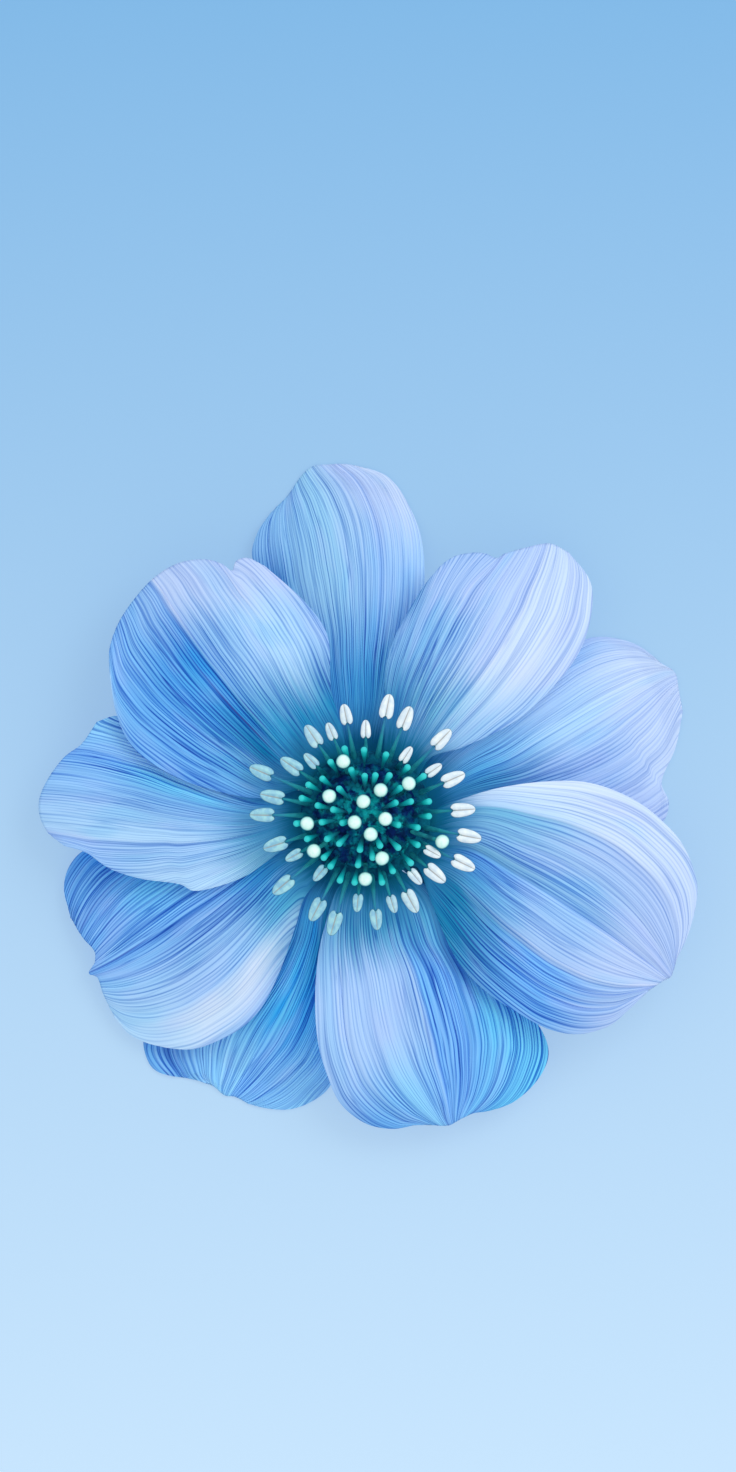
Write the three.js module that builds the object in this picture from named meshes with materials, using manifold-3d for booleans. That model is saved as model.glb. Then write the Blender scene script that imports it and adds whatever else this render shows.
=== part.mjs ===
// One blue flower head, lying face up on the tips of its three lowest petals.
// Millimetres: +Z points out of the bloom, +Y is the top of its front view, and z = 0 is the table.

import * as THREE from 'three';
import { mergeVertices } from 'three/addons/utils/BufferGeometryUtils.js';
import Module from 'manifold-3d';

const wasm = await Module();
wasm.setup();

// The flower's axis, placed so that the origin is under the middle of its outline.
const AXIS_X = -0.3;
const AXIS_Y = -2.9;

// Petal blades
const BLADE = 0.7; // thickness
const CLAW_RADIUS = 8.8; // from the axis to the narrow foot of each petal
const CLAW_HALF_WIDTH = 3;
const BLADE_COLUMNS = 10;
const BLADE_ROWS = 16;
const SIDE_DROP_POWER = 2.2; // how far from the middle line a side starts to fall
const SIDE_DROP_FROM_CLAW = 0.4; // share of the length over which the side drop grows
const SIDE_DROP_FADE = 0.8; // share of the side drop that is gone at the rim
const SIDE_DROP_FADE_START = 0.65;
const RIM_BLEND_POWER = 3; // how late the blade's lines bend to meet the rim

// Calyx: the stub of the stalk, the receptacle that flares from it, and the sepals
const STALK_RADIUS = 2.4;
const STALK_FOOT = 0.6;
const RECEPTACLE_RADIUS = 8.5;
const RECEPTACLE_TOP = 13.9;
const SEPAL_COUNT = 5;
const SEPAL_FIRST_ANGLE = 36;
const SEPAL_HALF_THICKNESS = 0.5;

// Domed centre
const DOME_RADIUS = 7.8;
const DOME_BASE = 15.5;
const DOME_RIM_HEIGHT = 0.6;
const DOME_HEIGHT = 3.9;
const PIN_HEAD_RADIUS = 0.48;
const PIN_TOP = 20.6; // height that a pin's head would have on the axis
const PIN_FALL = 0.08; // how much lower a head is for each millimetre from the axis
const PIN_REACH = 1.9; // how much farther from the axis a head is than its root
const PIN_ROOT_LIMIT = 7.2; // the farthest root from the axis
const PIN_ROOT_DEPTH = 0.5;
const STYLE_RADIUS = 0.32;
const STIGMA_RADIUS = 1.08;
const STIGMA_HEIGHT = 21.6; // of the ball that stands nearest to the axis
const STIGMA_FALL = 0.17; // how much lower a ball stands for each millimetre from the axis

// Stamens, which stand on a disc of tissue under the dome
const STAMEN_DISC_RADIUS = 9.8;
const STAMEN_DISC_BASE = 14.2;
const STAMEN_DISC_TOP = 15.2;
const STAMEN_FOOT = 8.6;
const ANTHER_LEVEL = 18.7;
const FILAMENT_ROOT_RADIUS = 0.36;
const FILAMENT_TIP_RADIUS = 0.17;
const LARGE = { length: 3.9, width: 2.2, height: 1.1 };
const MIDDLE = { length: 3.3, width: 1.9, height: 1 };
const SMALL = { length: 2.9, width: 1.6, height: 0.9 };

// Where the balls of the stigmas stand, from the axis.
const STIGMAS = [
  [-0.4, 2.2], [2.9, -0.4], [0.7, -2.7], [-1.7, -0.9], [2.2, 3.9], [-5.5, 3], [2.4, -6.3],
  [6.4, 4.9], [-3.4, 8.2], [-8.8, -1.1], [-7.8, -5.2], [-0.1, -9.4], [11.4, -3.8],
];

// Where the heads of the pins are, from the axis: an inner, a middle and an outer ring.
const PINS = [
  [-3.5, -1], [-0.9, -5], [2.1, -4.4], [4.8, -1.3], [4.4, 2], [-4.9, 1], [-4, 4.1], [-4, -4.1],
  [-6.6, -0.9], [-5.8, -3.4], [-1.2, -7.3], [1, -6.2], [4.8, -4.7], [7.7, -1.7], [6.7, 2.2],
  [5.1, 4.2], [3.5, 6.1], [1.4, 6.1], [-0.2, 6], [-2.2, 6.9], [-7.2, 1.6],
  [-10.4, -1.1], [-8.8, -3.4], [-6.3, -6.2], [-5.3, -7.5], [-3.9, -9.6], [-1.7, -9.9], [2.4, -9.9],
  [4, -8.2], [6.7, -7], [7.7, -4.3], [9.4, 0], [9.4, 2.2], [8.6, 6], [6.2, 7.3], [3, 9.2],
  [-0.3, 9.9], [-3.2, 10.1], [-5.3, 8.1], [-6.5, 5.6], [-8.6, 4.7], [-9.6, 2.7],
];

// Reach and size of the stamens in half of the ring. The other half repeats them.
const HALF_RING = [
  [14.2, LARGE], [12.3, SMALL], [16.2, LARGE], [11, SMALL], [15.8, LARGE], [16.7, LARGE],
  [13, SMALL], [15.5, MIDDLE], [13.7, SMALL], [14.4, LARGE], [11.7, SMALL], [13.5, LARGE],
];

// Runs of evenly spaced stamens round the ring, in degrees.
const STAMEN_RUNS = [
  { from: -162.4, to: -28.6, stamens: [...HALF_RING, [11.3, SMALL]] },
  { from: -26, to: 3.7, stamens: [[16.2, LARGE], [15.7, LARGE], [14.5, LARGE]] },
  { from: 23.3, to: 179.3, stamens: [...HALF_RING, [17, LARGE], [14.3, LARGE], [15.5, LARGE]] },
];

// Each petal as seen from the front, in millimetres from the axis: its left and right sides from the
// claw outwards, the middle line that its veins follow, and its rim from left to right. clawZ and
// tipZ are the heights of its ends, arch is the rise between them, and sideDrop is how far its left
// and right sides fall away below the middle line. A side that is under a neighbour falls more.
const PETALS = [
  {
    name: 'top_petal',
    color: '#7fb4ea',
    clawAngle: 90,
    clawZ: 8.8,
    tipZ: -2.8,
    arch: 5.6,
    sideDrop: [2.6, 2.6],
    left: [[-3.9, 15.6], [-9.2, 25.2], [-14.7, 33.6], [-17.1, 39], [-16.5, 42.6]],
    middle: [[0.8, 18.9], [-1.6, 33.4], [-4.3, 44.2]],
    right: [[4.2, 16.6], [7.2, 25.6], [8.7, 33.9], [8.2, 42.1], [5.8, 48]],
    rim: [[-14.8, 45.6], [-11.8, 48.4], [-9.8, 51.1], [-8.1, 52.6], [-5.4, 52.9], [-2.7, 52.9],
      [0.4, 52.2]],
  },
  {
    name: 'upper_left_petal',
    color: '#84b2ea',
    clawAngle: 132,
    clawZ: 12.9,
    tipZ: 9.5,
    arch: 5.4,
    sideDrop: [1.4, 1.6],
    left: [[-15.6, 2.7], [-24.9, 4.5], [-30.9, 7.2], [-35.2, 10.7], [-37.5, 15.6]],
    middle: [[-12.2, 8.1], [-22.9, 21.6], [-29.4, 30.1]],
    right: [[-3.1, 11.1], [-5.2, 18.9], [-5.8, 27.1], [-9.2, 32.1]],
    rim: [[-38.5, 21.6], [-38.4, 25.3], [-37, 29.2], [-34.4, 33], [-31.6, 35.9], [-28.2, 37.9],
      [-24.3, 38.5], [-21.6, 37.8], [-20.1, 36.8], [-19.5, 38.2], [-17.8, 38.7], [-15.1, 37.4]],
  },
  {
    name: 'left_petal',
    color: '#93bbf0',
    clawAngle: 176,
    clawZ: 11.5,
    tipZ: 7,
    arch: 4.8,
    sideDrop: [1, 3.4],
    left: [[-15.4, -7.2], [-18.1, -9], [-22.1, -10.5], [-25.8, -11.2], [-27.9, -10.2], [-33.6, -9.4],
      [-38.4, -7.9], [-42, -5.5]],
    middle: [[-18.1, -0.9], [-33.9, 1.2]],
    right: [[-15.6, 5], [-24.1, 10.7], [-32.4, 13.9], [-37.5, 15]],
    rim: [[-45.3, -4.5], [-48, -2.2], [-49.1, 0.6], [-48.9, 3.1], [-47.4, 6.1], [-45.3, 8.8],
      [-42.6, 10.9], [-40.4, 14.1]],
  },
  {
    name: 'lower_left_petal',
    color: '#7fb3ef',
    clawAngle: 217,
    clawZ: 10.1,
    tipZ: 3,
    arch: 4,
    sideDrop: [1.2, 3.6],
    left: [[-9.2, -12.2], [-10.5, -16.3], [-12.8, -22.9], [-15.4, -28.3], [-18.3, -31.5],
      [-22.5, -33.9], [-26.6, -35.1], [-32.1, -34.4], [-35.5, -32.9]],
    middle: [[-14.7, -7.5], [-23.8, -12.2], [-33.6, -18.8]],
    right: [[-15.6, -3.9], [-26.4, -2.9], [-35.4, -3.3], [-42.3, -5.2], [-44.7, -7.8], [-45.4, -11.1]],
    rim: [[-37.8, -30.3], [-39.6, -26.6], [-40.4, -24.3], [-41.7, -23.7], [-40.8, -22.1],
      [-40.8, -20.4], [-42.6, -18.3], [-44.4, -15.3]],
  },
  {
    name: 'bottom_left_petal',
    color: '#6ba3ec',
    clawAngle: 249,
    clawZ: 8.8,
    tipZ: -2.8,
    arch: 5.4,
    sideDrop: [2.6, 3.2],
    left: [[-2.4, -12.6], [-3, -21.6], [-3, -30.6], [-3.9, -37.4], [-5.7, -41.1], [-8.1, -43],
      [-11.4, -44.2], [-14.7, -44.1]],
    middle: [[-5.1, -12.6], [-7.2, -19.3], [-12, -28.1], [-17.4, -36.9]],
    right: [[-7.2, -11.8], [-14.7, -19.3], [-23.4, -26.1], [-30.9, -30.6], [-33.4, -33.6],
      [-33.1, -36.3], [-31.9, -38.2], [-29.7, -39.1], [-26.4, -39.6]],
    rim: [[-17.6, -43.4], [-19.8, -42.3], [-21.3, -42.1], [-22.9, -40.5]],
  },
  {
    name: 'bottom_petal',
    color: '#8ebcf2',
    clawAngle: 283,
    clawZ: 11.5,
    tipZ: 6,
    arch: 4.4,
    sideDrop: [3, 1.6],
    left: [[9.3, -12.6], [13.3, -20.1], [20.1, -26.8], [25.3, -30.8], [27.1, -33.9], [27.3, -36.6],
      [25.6, -39.9], [22.3, -42.9], [18.9, -44.2]],
    middle: [[4, -18.8], [7.5, -25.1], [10.5, -34.9]],
    right: [[-3.9, -10.3], [-6.1, -16.3], [-7.2, -21.3], [-7.6, -27.6], [-7.2, -33.9], [-5.8, -38.9],
      [-3.8, -43.2], [0, -46.2], [4, -47], [7.2, -46.5]],
    rim: [[16.2, -44.5], [14.1, -45.6], [12.4, -46.5], [10, -46.4]],
  },
  {
    name: 'lower_right_petal',
    color: '#8fb6ee',
    clawAngle: 328,
    clawZ: 12.8,
    tipZ: 9.5,
    arch: 4.8,
    sideDrop: [1.2, 1.6],
    left: [[9.9, 0.6], [13.9, 2.4], [19.9, 4.2], [27.3, 5.2], [33.3, 5], [39.1, 3], [43.6, 0],
      [47.5, -4.3], [49.6, -9.8], [49.4, -13.8], [48.1, -18.3]],
    middle: [[16.3, -5], [25.8, -10.9], [34.8, -16.8]],
    right: [[7.8, -7.8], [9.6, -12.4], [12.4, -19.2], [14.8, -23.1], [18.4, -26.6], [22.8, -29.5],
      [27.3, -31.9], [31.8, -32.7], [36.4, -31.5], [39.3, -29.1]],
    rim: [[46.6, -21.3], [45.8, -24], [44.5, -24.8], [42.3, -26.2]],
  },
  {
    name: 'right_petal',
    color: '#a3bff2',
    clawAngle: 14,
    clawZ: 8.8,
    tipZ: -2.8,
    arch: 5.6,
    sideDrop: [2.6, 2.6],
    left: [[9.9, 7.5], [17.1, 16.2], [25.3, 23.1], [33.3, 26.6], [37, 26.8], [41.2, 25.5]],
    middle: [[16.5, 7.9], [24.4, 11.2], [35.2, 15.4]],
    right: [[13.3, 0.8], [21.1, 0], [30.6, -1.5], [39.6, -2.4], [44.5, -1.1], [45.6, 1.9], [44.5, 5],
      [46.6, 10.2]],
    rim: [[44.4, 22.8], [46.5, 21.6], [47.1, 18.9], [47.7, 15.6]],
  },
  {
    name: 'upper_right_petal',
    color: '#b4cefa',
    clawAngle: 55,
    clawZ: 12.8,
    tipZ: 9.5,
    arch: 4.8,
    sideDrop: [1.2, 1.6],
    left: [[2.9, 15.6], [3, 22.2], [4.2, 26.4], [6.3, 30.6], [9, 34.9]],
    middle: [[9.3, 17.4], [15.6, 28.2]],
    right: [[9.8, 8.8], [14.4, 10.3], [22.3, 14.2], [28.2, 19.5], [32.2, 25.1], [33.9, 30.9],
      [33.6, 35.4]],
    rim: [[11.1, 37.4], [13.2, 38.9], [16.3, 39.5], [18.1, 39.3], [19.5, 38.7], [21, 39.4],
      [23.7, 40.2], [27.6, 40.9], [30.4, 39.6]],
  },
];

const FINISHES = {
  petal: { roughness: 0.6, metalness: 0 },
  calyx: { color: '#3f8f96', roughness: 0.7, metalness: 0 },
  centre: { color: '#0f5f7c', roughness: 0.5, metalness: 0 },
  stamens: { color: '#cfe8ee', roughness: 0.6, metalness: 0 },
};

function radians(degrees) {
  return (degrees * Math.PI) / 180;
}

function smooth(from, to, value) {
  const share = Math.min(1, Math.max(0, (value - from) / (to - from)));
  return share * share * (3 - 2 * share);
}

// A point that lies `out` from the axis at an angle, `across` to the side of that line.
function around(angle, out, across, z) {
  return new THREE.Vector3(
    AXIS_X + out * Math.cos(angle) - across * Math.sin(angle),
    AXIS_Y + out * Math.sin(angle) + across * Math.cos(angle),
    z,
  );
}

// A smooth curve through flat points, with its knots at the points' distances.
function curveThrough(points, share) {
  const knots = [0];
  for (let k = 1; k < points.length; k += 1) {
    const step = Math.hypot(points[k][0] - points[k - 1][0], points[k][1] - points[k - 1][1]);
    knots.push(knots[k - 1] + step);
  }
  const last = points.length - 1;
  const place = share * knots[last];
  let from = 0;
  while (from < last - 1 && place > knots[from + 1]) {
    from += 1;
  }
  const slope = (k, axis) => {
    const before = Math.max(0, k - 1);
    const after = Math.min(last, k + 1);
    return (points[after][axis] - points[before][axis]) / (knots[after] - knots[before]);
  };
  const span = knots[from + 1] - knots[from];
  const s = (place - knots[from]) / span;
  return [0, 1].map((axis) => {
    const start = points[from][axis] * (2 * s ** 3 - 3 * s ** 2 + 1);
    const leave = slope(from, axis) * span * (s ** 3 - 2 * s ** 2 + s);
    const end = points[from + 1][axis] * (3 * s ** 2 - 2 * s ** 3);
    const arrive = slope(from + 1, axis) * span * (s ** 3 - s ** 2);
    return start + leave + end + arrive;
  });
}

// The petal's outline curves with the claw's corners and the rim's ends added.
function petalCurves(petal) {
  const angle = radians(petal.clawAngle);
  const claw = [CLAW_RADIUS * Math.cos(angle), CLAW_RADIUS * Math.sin(angle)];
  const aside = [-CLAW_HALF_WIDTH * Math.sin(angle), CLAW_HALF_WIDTH * Math.cos(angle)];
  return {
    left: [[claw[0] + aside[0], claw[1] + aside[1]], ...petal.left, petal.rim[0]],
    right: [[claw[0] - aside[0], claw[1] - aside[1]], ...petal.right, petal.rim.at(-1)],
    middle: [claw, ...petal.middle, curveThrough(petal.rim, 0.5)],
    rim: petal.rim,
  };
}

// A place on the petal in the front view. u runs from -1 at its left side to 1 at its right side,
// and v from 0 at the claw to 1 at the rim.
function petalPlan(curves, u, v) {
  const inside = (along) => {
    const left = curveThrough(curves.left, along);
    const middle = curveThrough(curves.middle, along);
    const right = curveThrough(curves.right, along);
    return [0, 1].map((axis) => {
      const lean = (u * (right[axis] - left[axis])) / 2;
      const bow = u * u * ((right[axis] + left[axis]) / 2 - middle[axis]);
      return middle[axis] + lean + bow;
    });
  };
  const point = inside(v);
  const end = inside(1);
  const rim = curveThrough(curves.rim, (u + 1) / 2);
  const blend = v ** RIM_BLEND_POWER;
  return [0, 1].map((axis) => point[axis] + blend * (rim[axis] - end[axis]));
}

// The middle of the blade's thickness. A tip that would pass through the table lies flat on it.
function petalPoint(petal, curves, u, v) {
  const [x, y] = petalPlan(curves, u, v);
  const reach = Math.hypot(...petalPlan(curves, 0, 1));
  const share = (Math.hypot(x, y) - CLAW_RADIUS) / (reach - CLAW_RADIUS);
  const spine = petal.clawZ + (petal.tipZ - petal.clawZ) * share + 4 * petal.arch * share * (1 - share);
  const fade = 1 - SIDE_DROP_FADE * smooth(SIDE_DROP_FADE_START, 1, v);
  const grown = smooth(0, SIDE_DROP_FROM_CLAW, v) * fade;
  const drop = petal.sideDrop[u < 0 ? 0 : 1] * Math.abs(u) ** SIDE_DROP_POWER * grown;
  return new THREE.Vector3(AXIS_X + x, AXIS_Y + y, Math.max(BLADE / 2, spine - drop));
}

function petalNormal(petal, curves, u, v) {
  const step = 0.01;
  const west = petalPoint(petal, curves, Math.max(-1, u - step), v);
  const east = petalPoint(petal, curves, Math.min(1, u + step), v);
  const near = petalPoint(petal, curves, u, Math.max(0, v - step));
  const far = petalPoint(petal, curves, u, Math.min(1, v + step));
  return east.sub(west).cross(far.sub(near)).normalize();
}

function closedGeometry(points, faces) {
  const geometry = new THREE.BufferGeometry().setFromPoints(points);
  geometry.setIndex(faces);
  return geometry;
}

// A closed blade between an upper and an under skin, split into triangles alike on both.
function petalGeometry(petal) {
  const curves = petalCurves(petal);
  const upper = [];
  const under = [];
  for (let row = 0; row <= BLADE_ROWS; row += 1) {
    for (let column = 0; column <= BLADE_COLUMNS; column += 1) {
      const u = (2 * column) / BLADE_COLUMNS - 1;
      const v = row / BLADE_ROWS;
      const point = petalPoint(petal, curves, u, v);
      const offset = petalNormal(petal, curves, u, v).multiplyScalar(BLADE / 2);
      upper.push(point.clone().add(offset));
      const below = point.clone().sub(offset);
      below.z = Math.max(0, below.z);
      under.push(below);
    }
  }
  const across = BLADE_COLUMNS + 1;
  const toUnder = upper.length;
  const faces = [];
  for (let row = 0; row < BLADE_ROWS; row += 1) {
    for (let column = 0; column < BLADE_COLUMNS; column += 1) {
      const a = row * across + column;
      const b = a + 1;
      const c = b + across;
      const d = a + across;
      faces.push(a, b, c, a, c, d);
      faces.push(toUnder + a, toUnder + c, toUnder + b, toUnder + a, toUnder + d, toUnder + c);
    }
  }
  const edge = [];
  for (let column = 0; column < BLADE_COLUMNS; column += 1) {
    edge.push(column);
  }
  for (let row = 0; row < BLADE_ROWS; row += 1) {
    edge.push(row * across + BLADE_COLUMNS);
  }
  for (let column = BLADE_COLUMNS; column > 0; column -= 1) {
    edge.push(BLADE_ROWS * across + column);
  }
  for (let row = BLADE_ROWS; row > 0; row -= 1) {
    edge.push(row * across);
  }
  edge.forEach((here, k) => {
    const next = edge[(k + 1) % edge.length];
    faces.push(toUnder + here, toUnder + next, next, toUnder + here, next, here);
  });
  return closedGeometry([...upper, ...under], faces);
}

function middleOf(points) {
  const sum = new THREE.Vector3();
  points.forEach((point) => sum.add(point));
  return sum.divideScalar(points.length);
}

// A closed skin through rings of points, which run anticlockwise seen from the last ring.
function skinThrough(rings) {
  const sides = rings[0].length;
  const points = rings.flat();
  const firstMiddle = points.push(middleOf(rings[0])) - 1;
  const lastMiddle = points.push(middleOf(rings.at(-1))) - 1;
  const lastRing = (rings.length - 1) * sides;
  const faces = [];
  for (let side = 0; side < sides; side += 1) {
    const next = (side + 1) % sides;
    faces.push(firstMiddle, next, side);
    for (let low = 0; low < lastRing; low += sides) {
      const high = low + sides;
      faces.push(low + side, low + next, high + next, low + side, high + next, high + side);
    }
    faces.push(lastMiddle, lastRing + side, lastRing + next);
  }
  return closedGeometry(points, faces);
}

// The two directions that are square to a line, the first as near as it can be to `aside`.
function squareTo(along, aside) {
  const across = aside.clone().addScaledVector(along, -aside.dot(along)).normalize();
  const up = new THREE.Vector3().crossVectors(along, across);
  return { across, up };
}

// A round stalk along a path, with its radius at each point of the path.
function stalk(path, radii, sides, aside) {
  const rings = path.map((point, k) => {
    const before = path[Math.max(0, k - 1)];
    const after = path[Math.min(path.length - 1, k + 1)];
    const along = after.clone().sub(before).normalize();
    const { across, up } = squareTo(along, aside);
    const ring = [];
    for (let side = 0; side < sides; side += 1) {
      const turn = (2 * Math.PI * side) / sides;
      const spoke = across.clone().multiplyScalar(radii[k] * Math.cos(turn));
      spoke.addScaledVector(up, radii[k] * Math.sin(turn));
      ring.push(point.clone().add(spoke));
    }
    return ring;
  });
  return skinThrough(rings);
}

function sideways(angle) {
  return new THREE.Vector3(-Math.sin(angle), Math.cos(angle), 0);
}

function solidOf(geometry) {
  const bare = geometry.clone();
  bare.deleteAttribute('normal');
  bare.deleteAttribute('uv');
  const merged = mergeVertices(bare);
  const vertProperties = new Float32Array(merged.attributes.position.array);
  const triVerts = new Uint32Array(merged.index.array);
  return new wasm.Manifold(new wasm.Mesh({ numProp: 3, vertProperties, triVerts }));
}

// One closed body out of pieces that overlap.
function fuse(geometries) {
  const body = geometries.map(solidOf).reduce((joined, piece) => joined.add(piece));
  const { vertProperties, triVerts } = body.getMesh();
  const geometry = new THREE.BufferGeometry();
  geometry.setAttribute('position', new THREE.BufferAttribute(vertProperties, 3));
  geometry.setIndex(new THREE.BufferAttribute(triVerts, 1));
  return geometry;
}

// A turned piece round the flower's axis, from its profile of radius and height.
function turned(profile, sides) {
  const geometry = new THREE.LatheGeometry(
    profile.map(([radius, height]) => new THREE.Vector2(radius, height)),
    sides,
  );
  geometry.rotateX(Math.PI / 2);
  geometry.translate(AXIS_X, AXIS_Y, 0);
  return geometry;
}

function sepal(angle) {
  // out from the axis, height, half-width
  const sections = [
    [6.4, 7.6, 2.2],
    [9.5, 6.9, 3.3],
    [13.5, 6.9, 3.9],
    [17.5, 7.1, 3.2],
    [21, 6.8, 2],
    [24, 6, 0.7],
  ];
  const rings = sections.map(([out, z, half]) => [
    around(angle, out, half, z - SEPAL_HALF_THICKNESS),
    around(angle, out, half * 0.5, z + SEPAL_HALF_THICKNESS * 0.8),
    around(angle, out, 0, z + SEPAL_HALF_THICKNESS),
    around(angle, out, -half * 0.5, z + SEPAL_HALF_THICKNESS * 0.8),
    around(angle, out, -half, z - SEPAL_HALF_THICKNESS),
    around(angle, out, 0, z - SEPAL_HALF_THICKNESS * 1.6),
  ]);
  return skinThrough(rings);
}

function calyxGeometry() {
  const body = turned([
    [0, STALK_FOOT],
    [STALK_RADIUS, STALK_FOOT],
    [STALK_RADIUS, 3.4],
    [3.4, 4.9],
    [6.4, 6.4],
    [8, 7.6],
    [RECEPTACLE_RADIUS, 9],
    [RECEPTACLE_RADIUS, RECEPTACLE_TOP],
    [0, RECEPTACLE_TOP],
  ], 24);
  const sepals = [];
  for (let k = 0; k < SEPAL_COUNT; k += 1) {
    sepals.push(sepal(radians(SEPAL_FIRST_ANGLE + (360 * k) / SEPAL_COUNT)));
  }
  return fuse([body, ...sepals]);
}

// Height of the dome's skin at a distance from the axis.
function domeHeight(out) {
  const share = Math.min(1, out / DOME_RADIUS);
  return DOME_BASE + DOME_RIM_HEIGHT + (DOME_HEIGHT - DOME_RIM_HEIGHT) * Math.sqrt(1 - share * share);
}

function dome() {
  const profile = [[0, DOME_BASE]];
  for (let step = 0; step <= 6; step += 1) {
    const out = DOME_RADIUS * Math.cos((Math.PI / 2) * (step / 6));
    if (step === 0) {
      profile.push([out, DOME_BASE]);
    }
    profile.push([step === 6 ? 0 : out, domeHeight(out)]);
  }
  return turned(profile, 24);
}

// A pin leans outwards from the dome: a thin foot that swells to a rounded head.
function pin([x, y]) {
  const out = Math.hypot(x, y);
  const angle = Math.atan2(y, x);
  const rootOut = Math.min(out - PIN_REACH, PIN_ROOT_LIMIT);
  const root = around(angle, rootOut, 0, domeHeight(rootOut));
  const head = around(angle, out, 0, PIN_TOP - PIN_FALL * out);
  const length = head.distanceTo(root);
  const along = head.clone().sub(root).normalize();
  const places = [-PIN_ROOT_DEPTH, length * 0.55, length, length + PIN_HEAD_RADIUS * 0.8];
  const radii = [0.2, 0.26, PIN_HEAD_RADIUS, PIN_HEAD_RADIUS * 0.5];
  const path = places.map((place) => root.clone().addScaledVector(along, place));
  return stalk(path, radii, 5, sideways(angle));
}

// A style rises out of the dome and carries the ball of its stigma.
function style([x, y]) {
  const out = Math.hypot(x, y);
  const angle = Math.atan2(y, x);
  const ballHeight = STIGMA_HEIGHT - STIGMA_FALL * out;
  const rootOut = Math.min(out * 0.8, DOME_RADIUS - 1);
  const path = [
    around(angle, rootOut, 0, domeHeight(rootOut) - 0.8),
    around(angle, (rootOut + out) / 2, 0, (domeHeight(rootOut) + ballHeight) / 2),
    around(angle, out, 0, ballHeight),
  ];
  const stem = stalk(path, [STYLE_RADIUS * 1.3, STYLE_RADIUS, STYLE_RADIUS], 5, sideways(angle));
  const ball = new THREE.SphereGeometry(STIGMA_RADIUS, 8, 6);
  ball.rotateX(Math.PI / 2);
  ball.translate(AXIS_X + x, AXIS_Y + y, ballHeight);
  return [stem, ball];
}

function domedCentreGeometry() {
  return fuse([dome(), ...PINS.map(pin), ...STIGMAS.flatMap(style)]);
}

// Two lobes side by side, notched at the foot, with a groove between them.
function anther(angle, reach, size) {
  // place along its length, width, height, how far the groove is set in at this place
  const sections = [
    [0, 0.6, 0.55, 0.26],
    [0.14, 0.95, 0.95, 0.1],
    [0.5, 1, 1, 0],
    [0.82, 0.76, 0.8, 0],
    [1, 0.3, 0.4, 0],
  ];
  const lobes = [
    [1, 0], [0.6, 1], [0, 0.4], [-0.6, 1], [-1, 0], [-0.6, -1], [0, -0.4], [0.6, -1],
  ];
  const rings = sections.map(([place, wide, high, inset]) => lobes.map(([across, up]) => {
    const setIn = across === 0 ? inset : 0;
    const out = reach + (place + setIn - 0.5) * size.length;
    const z = ANTHER_LEVEL + (up * high * size.height) / 2;
    return around(angle, out, (-across * wide * size.width) / 2, z);
  }).reverse());
  return skinThrough(rings);
}

function filament(angle, reach, size) {
  const end = reach - size.length * 0.2;
  const length = end - STAMEN_FOOT;
  const path = [
    around(angle, STAMEN_FOOT, 0, STAMEN_DISC_TOP - 0.6),
    around(angle, STAMEN_FOOT + length * 0.25, 0, STAMEN_DISC_TOP + 0.8),
    around(angle, STAMEN_FOOT + length * 0.6, 0, ANTHER_LEVEL - 1.2),
    around(angle, end, 0, ANTHER_LEVEL),
  ];
  const middleRadius = (FILAMENT_ROOT_RADIUS + FILAMENT_TIP_RADIUS) / 2;
  const radii = [FILAMENT_ROOT_RADIUS, FILAMENT_ROOT_RADIUS, middleRadius, FILAMENT_TIP_RADIUS];
  return stalk(path, radii, 4, sideways(angle));
}

function stamensGeometry() {
  const disc = turned([
    [0, STAMEN_DISC_BASE],
    [STAMEN_DISC_RADIUS, STAMEN_DISC_BASE],
    [STAMEN_DISC_RADIUS, STAMEN_DISC_TOP - 0.4],
    [STAMEN_DISC_RADIUS - 0.5, STAMEN_DISC_TOP],
    [0, STAMEN_DISC_TOP],
  ], 36);
  const stamens = STAMEN_RUNS.flatMap(({ from, to, stamens: run }) => run.flatMap(([reach, size], k) => {
    const angle = radians(from + ((to - from) * k) / (run.length - 1));
    return [filament(angle, reach, size), anther(angle, reach, size)];
  }));
  return fuse([disc, ...stamens]);
}

function piece(name, geometry, finish) {
  const mesh = new THREE.Mesh(geometry, new THREE.MeshStandardMaterial(finish));
  mesh.name = name;
  return mesh;
}

const flower = new THREE.Group();
PETALS.forEach((petal) => {
  const finish = { ...FINISHES.petal, color: petal.color };
  flower.add(piece(petal.name, petalGeometry(petal), finish));
});
flower.add(piece('calyx', calyxGeometry(), FINISHES.calyx));
flower.add(piece('domed_centre', domedCentreGeometry(), FINISHES.centre));
flower.add(piece('stamens', stamensGeometry(), FINISHES.stamens));

export default flower;
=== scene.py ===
"""Dresses the blue flower head: fine petals over their CAD blades, the domed centre, stamens and calyx."""

import math

import bpy
import numpy as np
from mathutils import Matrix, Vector


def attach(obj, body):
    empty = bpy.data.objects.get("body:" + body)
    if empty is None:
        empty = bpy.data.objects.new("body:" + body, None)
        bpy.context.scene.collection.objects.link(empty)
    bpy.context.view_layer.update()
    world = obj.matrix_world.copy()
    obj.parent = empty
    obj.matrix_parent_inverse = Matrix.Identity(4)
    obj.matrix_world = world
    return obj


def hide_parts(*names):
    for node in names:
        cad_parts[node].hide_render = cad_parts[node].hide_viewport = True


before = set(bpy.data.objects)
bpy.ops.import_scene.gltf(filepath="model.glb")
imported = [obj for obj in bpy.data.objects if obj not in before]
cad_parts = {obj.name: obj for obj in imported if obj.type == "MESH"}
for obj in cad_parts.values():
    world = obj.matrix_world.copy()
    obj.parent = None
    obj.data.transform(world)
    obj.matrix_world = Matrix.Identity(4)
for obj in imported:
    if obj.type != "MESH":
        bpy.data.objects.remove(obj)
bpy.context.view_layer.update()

# ---------------------------------------------------------------------------------------------
# Sizes in millimetres, as in the CAD, and MM to turn them into Blender's metres
# ---------------------------------------------------------------------------------------------

MM = 0.001
MERGE_DISTANCE = 0.002

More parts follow.
